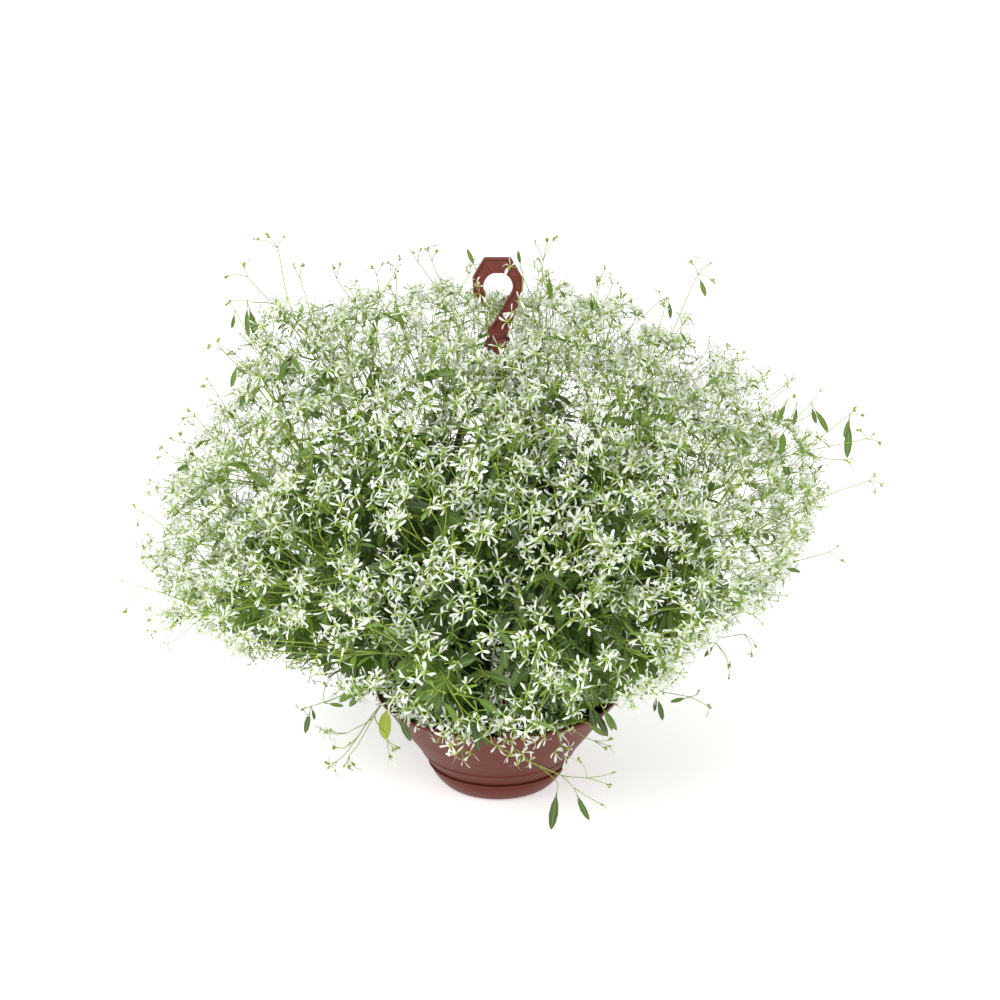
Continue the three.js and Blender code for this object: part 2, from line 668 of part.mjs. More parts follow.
// The flowering end of a shoot: the stem goes on to a head, and twigs fork off it to more.
function makeFlowerSpray(name, line) {
  const length = line.getLength();
  const start = FORK_AT + GAP / length;
  const points = stretch(line, start, 0.985, SPRAY_LEGS);
  const solids = [rod(points, BRANCH_RADIUS, 5, SPRAY_LEGS)];
  const end = points[points.length - 1];
  const facing = line.getTangent(1).add(point(0, 0, 0.5)).normalize();
  tryHead(name, solids, end.clone().addScaledVector(facing, 0.4), facing);
  const middle = middleOf(points, SPRAY_LEGS);
  FORK_SHARES.forEach((share, number) => {
    const fork = pointAt(middle, share);
    const along = directionAt(middle, share);
    for (let attempt = 0; attempt < 12; attempt += 1) {
      const turn = (number * 2.4 + attempt * 1.3) % (2 * Math.PI);
      const side = randomAcross(along).applyAxisAngle(along, turn);
      const direction = along.clone().addScaledVector(side, between(0.5, 0.9)).normalize();
      const far = fork.clone().addScaledVector(direction, length * between(0.17, 0.26));
      const reaches = far.clone().addScaledVector(direction, 2);
      if (!isInMound(far) || !isFree(name, [fork, reaches], TWIG_RADIUS)) continue;
      const headFacing = direction.clone().add(point(0, 0, 0.6)).normalize();
      if (!isFree(name, [far, reaches], BRACT_REACH)) continue;
      solids.push(rod([fork, far], TWIG_RADIUS, 3, 1));
      hold(name, [fork, far], TWIG_RADIUS);
      tryHead(name, solids, far.clone().addScaledVector(direction, -0.3), headFacing);
      break;
    }
  });
  addPiece(name, geometryOf(joined(solids)), materials.flowers);
}

// A low sprig that hangs over the rim, with leaves and heads near its end.
function makeLowSprig(name, line, heads, leafDrop) {
  const points = stretch(line, 0, 1, SPRIG_LEGS);
  const solids = [rod(points, BRANCH_RADIUS, 5, SPRIG_LEGS)];
  const middle = middleOf(points, SPRIG_LEGS);
  for (const share of SPRIG_LEAF_SHARES) {
    const foot = pointAt(middle, share);
    const along = directionAt(middle, share);
    for (let attempt = 0; attempt < 6; attempt += 1) {
      const direction = along.clone().multiplyScalar(0.5).add(randomAcross(along));
      direction.z -= leafDrop;
      if (tryLeaf(name, solids, foot, direction, between(24, 30), LEAF_WIDTH)) break;
    }
  }
  const end = points[points.length - 1];
  for (let i = 0; i < heads; i += 1) {
    const along = line.getTangent(1);
    for (let attempt = 0; attempt < 6; attempt += 1) {
      const direction = along.clone().add(randomAcross(along).multiplyScalar(0.9)).normalize();
      const far = end.clone().addScaledVector(direction, between(16, 26));
      const fits = isFree(name, [end, far], TWIG_RADIUS) && isFree(name, [far, far], BRACT_REACH);
      if (!fits) continue;
      solids.push(rod([end, far], TWIG_RADIUS, 3, 1));
      hold(name, [end, far], TWIG_RADIUS);
      tryHead(name, solids, far.clone().addScaledVector(direction, -0.3), direction);
      break;
    }
  }
  addPiece(name, geometryOf(joined(solids)), materials.foliage);
}

// The one yellowed leaf, which hangs outside the rim below the stem of a sprig.
function makeOldLeaf(line) {
  const drop = new THREE.Vector3(-0.16, -0.12, -1).normalize();
  const foot = line.getPoint(OLD_LEAF_SHARE).addScaledVector(drop, BRANCH_RADIUS + 1.5);
  const leaf = placed(leafGeometry(OLD_LEAF_LENGTH, OLD_LEAF_WIDTH), foot, drop, 0.5);
  hold("old_leaf", [foot, foot.clone().addScaledVector(drop, OLD_LEAF_LENGTH)], OLD_LEAF_WIDTH / 2);
  addPiece("old_leaf", cleaned(leaf), materials.oldLeaf);
}

function twoDigits(number) {
  return String(number).padStart(2, "0");
}

function makePlant() {
  const lines = [];
  for (let i = 0; i < SHOOTS; i += 1) {
    const stem = `leafy_stem_${twoDigits(i + 1)}`;
    const line = clearShootLine(stem, i);
    lines.push(line);
    hold(stem, stretch(line, 0, FORK_AT, 8), STEM_RADIUS);
    hold(`flower_spray_${twoDigits(i + 1)}`, stretch(line, FORK_AT + 0.01, 1, 8), BRANCH_RADIUS);
  }
  const sprigs = lowSprigs.map((sprig) => ({ ...sprig, line: sprigLine(sprig.outside) }));
  for (const sprig of sprigs) hold(sprig.name, stretch(sprig.line, 0, 1, 12), BRANCH_RADIUS);
  makeOldLeaf(sprigs.find((sprig) => sprig.name === OLD_LEAF_SPRIG).line);
  lines.forEach((line, i) => makeLeafyStem(`leafy_stem_${twoDigits(i + 1)}`, line));
  lines.forEach((line, i) => makeFlowerSpray(`flower_spray_${twoDigits(i + 1)}`, line));
  for (const sprig of sprigs) makeLowSprig(sprig.name, sprig.line, sprig.heads, sprig.leafDrop);
}

makePot();
makeSaucer();
makeSoil();
makeHook();
const armNames = ["hanger_arm_front", "hanger_arm_left", "hanger_arm_right"];
const armTops = armNames.map((name, i) => makeArm(name, ARM_AZIMUTHS[i]));
holdPotAndHanger(armTops);
makePlant();

export default model;
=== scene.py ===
"""A potted euphorbia in a shallow hanging pot: its finished surfaces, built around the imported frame."""

import math
import random
from collections import namedtuple

import bpy
import numpy as np
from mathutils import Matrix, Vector, noise


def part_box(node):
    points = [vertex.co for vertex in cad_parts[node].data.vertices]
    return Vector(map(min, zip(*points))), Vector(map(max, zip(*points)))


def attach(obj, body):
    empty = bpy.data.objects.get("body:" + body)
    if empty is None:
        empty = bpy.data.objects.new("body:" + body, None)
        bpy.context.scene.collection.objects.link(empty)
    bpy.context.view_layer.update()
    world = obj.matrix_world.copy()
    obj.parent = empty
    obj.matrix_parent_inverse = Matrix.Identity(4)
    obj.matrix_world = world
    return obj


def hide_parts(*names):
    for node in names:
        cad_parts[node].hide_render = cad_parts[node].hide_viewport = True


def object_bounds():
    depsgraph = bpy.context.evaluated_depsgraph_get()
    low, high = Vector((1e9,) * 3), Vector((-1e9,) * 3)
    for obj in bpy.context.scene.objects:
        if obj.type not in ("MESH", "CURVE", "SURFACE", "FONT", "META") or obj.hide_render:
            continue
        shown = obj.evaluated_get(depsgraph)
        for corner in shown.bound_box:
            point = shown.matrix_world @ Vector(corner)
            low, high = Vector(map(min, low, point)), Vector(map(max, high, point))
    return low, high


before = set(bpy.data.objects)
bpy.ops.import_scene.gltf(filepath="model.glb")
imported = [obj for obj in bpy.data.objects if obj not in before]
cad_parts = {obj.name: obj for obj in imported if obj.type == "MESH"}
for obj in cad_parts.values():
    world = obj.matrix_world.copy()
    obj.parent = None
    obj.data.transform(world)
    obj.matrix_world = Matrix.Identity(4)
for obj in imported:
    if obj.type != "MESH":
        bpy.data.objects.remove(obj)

CAD_BOX = [list(corner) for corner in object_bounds()]

bl_info = {
    "name": "Potted euphorbia",
    "version": (1, 0, 0),
    "blender": (4, 5, 0),
    "location": "3D View > Sidebar > Euphorbia",
    "description": "Dresses the packed frame of a potted euphorbia",
    "category": "Object",
}

MM = 0.001
UP = np.array([0, 0, 1.0])


def point(x, y, z):
    """A point given in millimetres, kept in metres."""
    return np.array([x, y, z], float) * MM


def corners_of(node):
    low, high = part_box(node)
    return np.array(low), np.array(high)


def points_of(node):
    """The places of a node's points, one row each."""
    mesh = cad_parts[node].data
    return np.array([vertex.co for vertex in mesh.vertices])


# Sizes of the pot, the saucer, the soil and the hook, from the frame
POT_LOW, POT_HIGH = corners_of("pot")
SAUCER_HIGH = corners_of("drip_saucer")[1]
SOIL_LOW, SOIL_HIGH = corners_of("potting_mix")
HOOK_LOW, HOOK_HIGH = corners_of("hanger_hook")
RIM_RADIUS = POT_HIGH[0]
RIM_HEIGHT = POT_HIGH[2]
RIM_MIDDLE = np.array([0, 0, RIM_HEIGHT])
POT_FLOOR = POT_LOW[2]
LIP_RADIUS = SAUCER_HIGH[0]
LIP_TOP = SAUCER_HIGH[2]
SOIL_TOP = SOIL_HIGH[2]
ARM_NODES = ["hanger_arm_front", "hanger_arm_left", "hanger_arm_right"]
SHOOTS = sum(name.startswith("leafy_stem_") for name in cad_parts)

# Pot and saucer
NOTCH_HEIGHT = 20 * MM
NOTCH_RADIUS = 64 * MM
WALL_FLARE = (RIM_RADIUS - NOTCH_RADIUS) / (RIM_HEIGHT - NOTCH_HEIGHT)
WALL_THICKNESS = 2.4 * MM
BAND_STEP_HEIGHT = 56 * MM
LOW_STEP_HEIGHT = 34 * MM
BAND_STEP = 0.9 * MM
RIM_BAND = 4 * MM
SAUCER_WALL = 1.8 * MM
SOIL_RELIEF = 3 * MM
CRUMBS = 260
CRUMB_SPREAD = 96 * MM
ROUND_SEGMENTS = 128
SHARP_ANGLE = math.radians(35)

# Hanger
HOOK_THICKNESS = 6 * MM
HOOK_EDGE = 1.7 * MM
HOOK_POCKET = 1.7 * MM
HOOK_RIB = 1.6 * MM
CHAMFER = 0.35 * MM
CLIP_CHAMFER = 0.4 * MM
EYE_MIDDLE = 481 * MM
EYE_RADIUS = 13 * MM
EYE_STEP = 9
HUB_HEIGHT = 441 * MM
HUB_RADIUS = 8 * MM
ARM_WIDTH = 13 * MM
ARM_THICKNESS = 3.6 * MM
ARM_EDGE = 1.6 * MM
ARM_POCKET = 1.4 * MM
ARM_RIBS = 15
CROSSBAR_REACH = 9.5 * MM
CROSSBAR_DEPTH = 4 * MM
CROSSBAR_HEIGHT = 9 * MM
RIB_REACH = 4.4 * MM

# The photograph's view, and what is read from it in its own pixels
PICTURE_SIZE = 1000
VIEW_ELEVATION = math.radians(19.2)
VIEW_DISTANCE = 2.0
VIEW_TARGET = np.array([0.00175, 0, 0.2801])
LENS_LENGTH = 78.44
SENSOR_WIDTH = 36
FOCAL_PIXELS = LENS_LENGTH / SENSOR_WIDTH * PICTURE_SIZE

# The mound's outline in the photograph, from left to right
UPPER_EDGE = [
    (124, 588), (140, 545), (160, 478), (200, 432), (222, 392), (240, 318), (300, 294), (350, 286),
    (400, 262), (440, 264), (468, 278), (530, 270), (560, 286), (620, 300), (660, 312), (700, 338),
    (730, 358), (780, 392), (822, 405), (846, 468),
]
LOWER_EDGE = [
    (124, 594), (160, 632), (220, 636), (260, 662), (300, 670), (340, 690), (380, 702), (410, 714),
    (440, 730), (500, 738), (560, 735), (600, 716), (650, 698), (690, 656), (720, 632), (760, 604),
    (785, 572), (805, 528), (822, 490), (846, 472),
]

# Windows of the photograph (left, top, right, bottom) that scattered clusters keep out of: the hook's
# eye in front and behind, and the hook with its neck and the rim's bare parts in front
EYE_WINDOW = (472, 256, 524, 302)
BARE_WINDOWS = [
    (466, 246, 530, 312), (486, 312, 522, 348), (408, 719, 452, 745), (484, 732, 506, 752),
    (574, 706, 606, 740),
]


# A spray that stands out in the photograph. Its places are pixels, its depth is how far it is in front
# of the pot's axis, in millimetres, and its leaves may be wider than usual
Spray = namedtuple("Spray", "fork depth buds leaves flowers widening", defaults=((), (), (), 1.0))

LONE_SPRAYS = [
    # Above the upper left
    Spray((278, 248), -60, [(256, 239), (268, 235), (285, 235)]),
    Spray((248, 277), -40, [(225, 276), (243, 265)]),
    Spray((300, 278), -60, [(293, 266), (303, 264)]),
    Spray((337, 279), -80, [(333, 267), (340, 265)]),
    Spray((247, 300), -20, [(226, 303)], [(258, 342), (248, 338)]),
    Spray((235, 310), -10, [(228, 302)], [(232, 329)]),
    # Left shoulder
    Spray((222, 350), 0, [(207, 346), (217, 340)]),
    Spray((238, 361), 10, [(246, 366)], [(231, 388)]),
    Spray((254, 374), 20, (), [(239, 408)]),
    Spray((212, 386), 20, [(203, 385), (206, 377)]),
    Spray((196, 417), 20, [(183, 418), (188, 409)]),
    # Leaves at the upper left
    Spray((290, 350), 30, (), [(300, 372), (279, 380)]),
    Spray((383, 304), -30, (), [(371, 338)]),
    Spray((394, 296), -30, [(389, 287)], [(404, 331)]),
    # Left edge
    Spray((186, 443), 20, [(179, 433), (171, 440)]),
    Spray((168, 453), 40, [(160, 447), (158, 458)]),
    Spray((160, 488), 40, [(150, 482), (148, 492)]),
    Spray((143, 512), 105, [(133, 507), (137, 524)]),
    Spray((162, 552), 50, [(152, 557), (150, 545)]),
    Spray((147, 588), 190, [(123, 581), (125, 610)]),
    Spray((159, 615), 70, [(150, 621), (148, 609)]),
    # Along the top
    Spray((377, 276), -80, [(372, 266), (382, 265)]),
    Spray((396, 270), -90, [(388, 263), (400, 258)]),
    Spray((418, 262), -100, [(412, 252), (421, 249)]),
    Spray((432, 261), -90, [(427, 249), (437, 252)]),
    # Round the hook
    Spray((476, 269), -30, (), [(467, 249)]),
    Spray((494, 309), -34, (), [(509, 295)]),
    Spray((521, 268), -30, (), [(518, 251)]),
    Spray((543, 261), -60, [(535, 243), (555, 238), (548, 240)]),
    Spray((548, 269), -55, (), [(551, 303)]),
    Spray((558, 287), -50, [(564, 283)], [(566, 299)]),
    # Top right
    Spray((602, 275), -40, [(606, 267), (597, 282)]),
    Spray((591, 293), -40, (), [(592, 316), (601, 318)]),
    Spray((622, 306), -20, [(616, 297), (624, 295), (631, 300)]),
    Spray((668, 297), -40, [(663, 304)], [(671, 319)]),
    Spray((698, 274), -60, [(691, 262), (709, 264), (713, 281)], [(706, 297)]),
    # Right
    Spray((724, 373), 20, (), [(705, 387)]),
    Spray((738, 362), -20, [(744, 353), (736, 352)]),
    Spray((762, 378), -10, [(770, 370), (766, 388)]),
    Spray((788, 399), -10, [(796, 396)], [(777, 423)]),
    Spray((797, 402), 0, (), [(794, 426)]),
    Spray((811, 403), 0, [(822, 389)], [(816, 424), (829, 433)]),
    Spray((850, 414), 10, [(854, 409), (864, 417)], [(844, 438), (847, 459)]),
    Spray((866, 439), 50, [(873, 435), (880, 442), (859, 429)]),
    Spray((869, 481), 130, [(875, 476), (883, 484), (876, 491)]),
    Spray((829, 552), 30, [(838, 546), (842, 562)]),
    # Lower right
    Spray((781, 567), 40, (), [(801, 572)]),
    Spray((744, 634), 50, [(752, 655), (757, 647)]),
    Spray((716, 643), 60, [(729, 666), (730, 677)], [(704, 657)]),
    # Flowers in front of the hook
    Spray((468, 296), 24, (), (), [(477, 284), (480, 294)]),
    Spray((526, 322), 24, (), (), [(519, 300), (512, 312), (508, 322)]),
    Spray((523, 270), 20, (), (), [(510, 267)]),
    Spray((510, 358), 30, (), (), [(499, 347), (508, 349)]),
    # Leaves at the rim
    Spray((369, 680), 110, (), [(338, 702), (349, 707)], widening=1.3),
    Spray((396, 711), 108, (), [(411, 742)]),
    Spray((470, 715), 126, (), [(489, 747), (480, 752)]),
    Spray((588, 700), 108, (), [(609, 737), (596, 733)]),
]
SPRIG_SPRAYS = {
    "far_left": [
        Spray((324, 703), 60, [(326, 684)], [(344, 706)]),
        Spray((311, 706), 60, [(303, 709)], [(305, 734), (315, 720)]),
    ],
    "left": [
        Spray((347, 733), 84, [(330, 731), (321, 729), (325, 733)]),
        Spray((344, 748), 88, [(335, 747), (349, 745)]),
        Spray((337, 761), 88, [(327, 764), (335, 771), (330, 767)]),
        Spray((349, 756), 92, [(346, 765), (353, 765), (349, 768)]),
        Spray((387, 739), 110, [(397, 747), (390, 757), (394, 750)]),
    ],
    "front_left": [
        Spray((462, 750), 148, (), (), [(455, 755), (463, 760), (470, 752)]),
        Spray((442, 735), 138, [(437, 742)], (), [(446, 738)]),
    ],
    "front_middle": [
        Spray((514, 748), 152, (), (), [(508, 756), (517, 764), (523, 753), (530, 761)]),
        Spray((500, 738), 140, (), (), [(497, 745), (505, 740), (500, 728)]),
        Spray((514, 734), 138, (), (), [(509, 726), (518, 730), (512, 740), (523, 739)]),
    ],
    "front_right": [
        Spray((561, 744), 138, (), (), [(556, 751), (565, 757), (569, 748)]),
        Spray((594, 741), 120, [(609, 746), (605, 749), (611, 740)]),
        Spray((583, 721), 116, (), [(606, 736)]),
    ],
    "right": [
        Spray((601, 704), 108, (), [(613, 731), (617, 731)]),
        Spray((657, 694), 50, [(674, 681), (671, 677)], [(663, 721), (654, 712)]),
        Spray((690, 697), 45, [(699, 693), (709, 707)], [(670, 702)]),
    ],
    "hanging": [
        Spray((558, 783), 165, (), [(551, 831)]),
        Spray((574, 788), 165, [(603, 805)], [(589, 821)]),
        Spray((587, 778), 165, [(614, 773), (609, 785), (580, 760)]),
    ],
}

# Fuller parts of the mound: their window, their depths in millimetres, how many clusters, and whether
# these are leafy
CLOUDS = [
    ((140, 450, 235, 628), (0, 110), 60, False),
    ((235, 300, 380, 380), (-80, 20), 56, False),
    ((290, 585, 440, 650), (110, 210), 26, False),
    ((590, 585, 660, 650), (100, 180), 10, False),
    ((385, 690, 600, 732), (76, 112), 30, True),
    ((300, 385, 400, 460), (-60, 90), 26, True),
    ((250, 400, 400, 580), (-40, 120), 40, True),
    ((400, 430, 520, 560), (60, 190), 26, True),
    ((420, 590, 600, 690), (120, 220), 30, True),
    ((600, 430, 740, 560), (-40, 120), 30, True),
    ((545, 375, 660, 450), (-70, 90), 28, True),
    ((150, 440, 260, 540), (-20, 60), 14, True),
]
ARM_COVER = {"hanger_arm_front": 40, "hanger_arm_left": 40, "hanger_arm_right": 34}
OLD_LEAF_FOOT = (389, 707)
OLD_LEAF_TIP = (381, 742)

# Stage, with lengths in metres
FLOOR_GLOW = 0.46
FLOOR_HALF = 40.0
LAMP_TARGET = (0, 0, 0.25)
KEY_PLACE = (-1.1, -1.5, 2.1)
KEY_SIZE = 1.3
FILL_PLACE = (1.9, -1.2, 1.0)
FILL_SIZE = 1.6

# Outlines of a leaf and of a bract: the width there as a share of the full width
LEAF_STATIONS = (0, 0.08, 0.3, 0.55, 0.8, 0.94, 1)
LEAF_OUTLINE = (0.12, 0.16, 0.78, 1, 0.76, 0.36, 0.06)
BRACT_STATIONS = (0, 0.38, 0.66, 0.88, 1)
BRACT_OUTLINE = (0.34, 0.6, 0.95, 0.9, 0.35)

# Plant
SPREAD_RADIUS = 364 * MM
MOUND_RISE = 376 * MM
MOUND_ROUNDNESS = 2.3
ROUNDNESS_SWING = 0.9
FULLEST_SHOULDER = math.radians(130)
SIDE_STRETCH = 0.12
FRONT_STRETCH = 0.05
LOWEST_TILT = math.radians(75)
SIDE_LEAN = math.radians(8)
LEAFY_CORE = point(250, 262, 270)
LEAFY_MIDDLE = point(-12, 0, 95)
LEAST_LEAFY = 0.12
SHALLOWEST_CLUSTER = 14 * MM
CLUSTER_LAYER = 76 * MM
LOW_MIDDLE_WIDTH = 160 * MM
LOW_MIDDLE_TOP = 290 * MM
LOW_MIDDLE_THINNING = 0.45
HUB_COVER = 26
BOX_MARGIN = 0.03
BOX_ROOM = 10 * MM
HANGER_ROOM = 1.5 * MM
CLUSTER_ROOM = 7 * MM
CLUSTER_REACH = 22 * MM
SIDE_TWIG_SPACING = 15 * MM
STALK_RADIUS = 0.42 * MM
STALK_END = 0.34 * MM
ROD_BASE = 0.38 * MM
ROD_GROWTH = 0.155 * MM
TWIG_RADIUS = 0.5 * MM
TWIG_END = 0.4 * MM
DRAW_IN = 0.965
DRAW_IN_TRIES = 9
GOLDEN_ANGLE = math.pi * (3 - math.sqrt(5))
SEED = 11


def colour(red, green, blue):
    """A colour given by three numbers from 0 to 255, as Blender's linear values."""
    shares = [value / 255 for value in (red, green, blue)]
    return tuple(s / 12.92 if s < 0.04045 else ((s + 0.055) / 1.055) ** 2.4 for s in shares)


# Settings

def length_property(name, description, default):
    return bpy.props.FloatProperty(
        name=name, description=description, default=default, min=0.0, unit="LENGTH", subtype="DISTANCE"
    )


def colour_property(name, description, default):
    return bpy.props.FloatVectorProperty(
        name=name, description=description, default=colour(*default), min=0.0, max=1.0, size=3,
        subtype="COLOR",
    )


class PotSettings(bpy.types.PropertyGroup):
    """Colours of the pot, the saucer, the hanger and the soil."""

    pot_colour: colour_property("Pot", "Colour of the pot's plastic", (99, 43, 28))
    saucer_colour: colour_property("Saucer", "Colour of the saucer's plastic", (103, 44, 28))
    hanger_colour: colour_property("Hanger", "Colour of the hook and its arms", (108, 54, 44))
    soil_colour: colour_property("Soil", "Colour of the potting mix", (52, 38, 28))


class PlantSettings(bpy.types.PropertyGroup):
    """Numbers, sizes and colours of the leaves and flowers."""

    clusters: bpy.props.IntProperty(
        name="Flower clusters", description="Clusters of flowers over the whole mound", default=1320, min=50
    )
    bract_length: length_property("Bract length", "Length of one white bract", 9.8 * MM)
    bract_width: length_property("Bract width", "Width of one white bract", 2.25 * MM)
    leaf_length: length_property("Leaf length", "Length of a full-grown leaf", 32 * MM)
    leaf_width: length_property("Leaf width", "Width of a full-grown leaf", 9.6 * MM)
    bract_colour: colour_property("Bracts", "Colour of the bracts", (224, 228, 220))
    bract_foot: colour_property("Bract foot", "Colour where a bract narrows", (166, 194, 74))
    leaf_colour: colour_property("Leaves", "Colour of the leaves", (108, 140, 42))
    # The darkest leaf colour is partly painted shade: the inner leaves lean towards it.
    leaf_dark: colour_property("Dark leaves", "Colour of the darkest leaves", (32, 52, 22))
    leaf_vein: colour_property("Leaf veins", "Colour of a leaf's midrib", (152, 182, 106))
    stem_colour: colour_property("Stems", "Colour of the thin stems", (156, 182, 62))
    stem_old: colour_property("Old stems", "Colour of the thick stems", (112, 122, 66))
    bud_colour: colour_property("Buds", "Colour of the buds", (136, 156, 54))
    old_leaf_colour: colour_property("Old leaf", "Colour of the yellowed leaf", (176, 186, 66))


class StageSettings(bpy.types.PropertyGroup):
    """The floor and the light."""

    floor_colour: colour_property("Floor", "Colour of the floor", (245, 245, 245))
    sky_strength: bpy.props.FloatProperty(
        name="Sky", description="Strength of the even light from all round", default=0.7, min=0.0
    )
    key_power: bpy.props.FloatProperty(
        name="Key light", description="Power of the large lamp above at the left", default=62.0, min=0.0,
        unit="POWER",
    )
    fill_power: bpy.props.FloatProperty(
        name="Fill light", description="Power of the lamp at the right", default=14.0, min=0.0, unit="POWER"
    )


# Shaders

def operator(operation, swapped=False):
    """One of Value's operators. It is swapped where the other value stands on the left."""
    if swapped:
        return lambda value, other: value.maths(operation, other, value)
    return lambda value, other: value.maths(operation, value, other)


class Value:
    """A shader socket that can stand in a Python expression. Each operation adds a Math node."""

    def __init__(self, tree, socket):
        self.tree = tree
        self.socket = socket

    def maths(self, operation, first, second=0.0):
        node = self.tree.nodes.new("ShaderNodeMath")
        node.operation = operation
        fill(self.tree, node.inputs[0], first)
        fill(self.tree, node.inputs[1], second)
        return Value(self.tree, node.outputs[0])

    __add__ = operator("ADD")
    __radd__ = operator("ADD", swapped=True)
    __sub__ = operator("SUBTRACT")
    __rsub__ = operator("SUBTRACT", swapped=True)
    __mul__ = operator("MULTIPLY")
    __rmul__ = operator("MULTIPLY", swapped=True)
    __pow__ = operator("POWER")

    def __abs__(self):
        return self.maths("ABSOLUTE", self)

    def sine(self):
        return self.maths("SINE", self)


def fill(tree, socket, value):
    """Links a value to a socket, or sets the socket to a number or a colour."""
    if isinstance(value, Value):
        tree.links.new(value.socket, socket)
    elif hasattr(value, "__len__"):
        socket.default_value = (*value, 1.0)
    else:
        socket.default_value = value


class Finish:
    """A material's node tree, built up from a surface shader."""

    def __init__(self, name):
        self.material = bpy.data.materials.new(name)
        self.material.use_nodes = True
        self.tree = self.material.node_tree
        self.tree.nodes.clear()

    def node(self, kind, settings, sockets, output=0):
        """Adds a node with its settings and its sockets' values, and returns one of its outputs."""
        made = self.tree.nodes.new(kind)
        for name, value in settings.items():
            if name == "stops":
                self.set_stops(made.color_ramp, value)
            else:
                setattr(made, name, value)
        for name, value in sockets.items():
            fill(self.tree, made.inputs[name], value)
        return Value(self.tree, made.outputs[output])

    @staticmethod
    def set_stops(ramp, stops):
        while len(ramp.elements) < len(stops):
            ramp.elements.new(0.5)
        for element, (position, level) in zip(ramp.elements, stops):
            element.position = position
            element.color = (level, level, level, 1.0)

    def mark(self, name):
        """What each point of the mesh holds under this name."""
        return self.node("ShaderNodeAttribute", {"attribute_name": name}, {}, "Fac")

    def place(self):
        return self.node("ShaderNodeNewGeometry", {}, {}, "Position")

    def noise(self, scale, detail=3.0, roughness=0.55):
        sockets = {"Vector": self.place(), "Scale": scale, "Detail": detail, "Roughness": roughness}
        return self.node("ShaderNodeTexNoise", {}, sockets, "Fac")

    def ramp(self, value, stops):
        """A share from 0 to 1 that follows the value by its stops."""
        grey = self.node("ShaderNodeValToRGB", {"stops": stops}, {"Fac": value}, "Color")
        return self.node("ShaderNodeSeparateColor", {}, {"Color": grey}, "Red")

    def mix(self, share, first, second):
        settings = {"data_type": "RGBA", "clamp_factor": True}
        return self.node("ShaderNodeMix", settings, {0: share, 6: first, 7: second}, 2)

    def bump(self, height, strength, distance):
        sockets = {"Height": height, "Strength": strength, "Distance": distance}
        return self.node("ShaderNodeBump", {}, sockets)

    def surface(self, **sockets):
        """The main shader. A keyword is a socket's name with _ for a space."""
        named = {name.replace("_", " "): value for name, value in sockets.items()}
        return self.node("ShaderNodeBsdfPrincipled", {}, named)

    def show(self, shader):
        end = self.tree.nodes.new("ShaderNodeOutputMaterial")
        fill(self.tree, end.inputs["Surface"], shader)
        return self.material

    def show_thin(self, shader, glow_colour, share):
        """Shows the shader on a thin leaf or bract, with some of the light coming through it."""
        through = self.node("ShaderNodeBsdfTranslucent", {}, {"Color": glow_colour})
        return self.show(self.node("ShaderNodeMixShader", {}, {0: share, 1: shader, 2: through}))


def plastic(name, base, roughness):
    """Moulded plastic: even colour with faint mottling, fine scuffs and a slightly uneven gloss."""
    finish = Finish(name)
    mottle = finish.noise(22.0, 4.0)
    scuffs = finish.ramp(finish.noise(310.0, 6.0, 0.7), [(0.56, 0.0), (0.72, 1.0)])
    patches = finish.ramp(finish.noise(9.0, 2.0), [(0.48, 0.0), (0.75, 1.0)])
    pale = tuple(min(1.0, 1.22 * channel + 0.012) for channel in base)
    dark = tuple(0.86 * channel for channel in base)
    skin = finish.mix(scuffs * patches * 0.35, finish.mix(mottle, dark, base), pale)
    grain = finish.noise(900.0, 2.0)
    shader = finish.surface(
        Base_Color=skin,
        Roughness=roughness + (mottle - 0.5) * 0.16,
        Normal=finish.bump(grain, 0.08, 0.0004),
        Specular_IOR_Level=0.2,
    )
    return finish.show(shader)


def soil_finish(base):
    """Moist potting mix: dark peat with paler fibres."""
    finish = Finish("soil_surface")
    lumps = finish.noise(260.0, 6.0, 0.7)
    fibres = finish.noise(900.0, 3.0, 0.6)
    pale = tuple(2.4 * channel for channel in base)
    dark = tuple(0.45 * channel for channel in base)
    peat = finish.mix(lumps, dark, base)
    shade = finish.mix((fibres - 0.52) * 2.2, peat, pale)
    shader = finish.surface(
        Base_Color=shade, Roughness=0.92, Normal=finish.bump(lumps, 0.7, 0.0015), Specular_IOR_Level=0.25
    )
    return finish.show(shader)


def stem_finish(young, old):
    """Smooth thin stems, yellow-green when thin and duller where they are thick."""
    finish = Finish("stem_surface")
    age = finish.mark("tone")
    streaks = finish.noise(120.0, 2.0)
    green = finish.mix(age, young, old)
    deep = tuple(0.72 * channel for channel in old)
    shader = finish.surface(
        Base_Color=finish.mix(streaks * 0.35, green, deep), Roughness=0.5, Specular_IOR_Level=0.4
    )
    return finish.show(shader)


def leaf_finish(name, base, dark, vein):
    """A leaf: each has its own green, with a pale midrib and faint side veins."""
    finish = Finish(name)
    tone = finish.mark("tone")
    along = finish.mark("along")
    across = abs(finish.mark("across"))
    blade = finish.mix(tone, dark, base)
    cloudy = finish.mix(finish.noise(90.0, 3.0) * 0.45, blade, dark)
    side_veins = ((along * 2.2 - across) * 34.0).sine()
    veined = finish.mix((side_veins * 0.5 + 0.5) ** 3.0 * 0.16, cloudy, vein)
    midrib = finish.ramp(across, [(0.05, 1.0), (0.17, 0.0)])
    shade = finish.mix(midrib * 0.45, veined, vein)
    shader = finish.surface(Base_Color=shade, Roughness=0.46, Specular_IOR_Level=0.42)
    glow = tuple(min(1.0, 1.35 * channel) for channel in base)
    return finish.show_thin(shader, glow, 0.2)


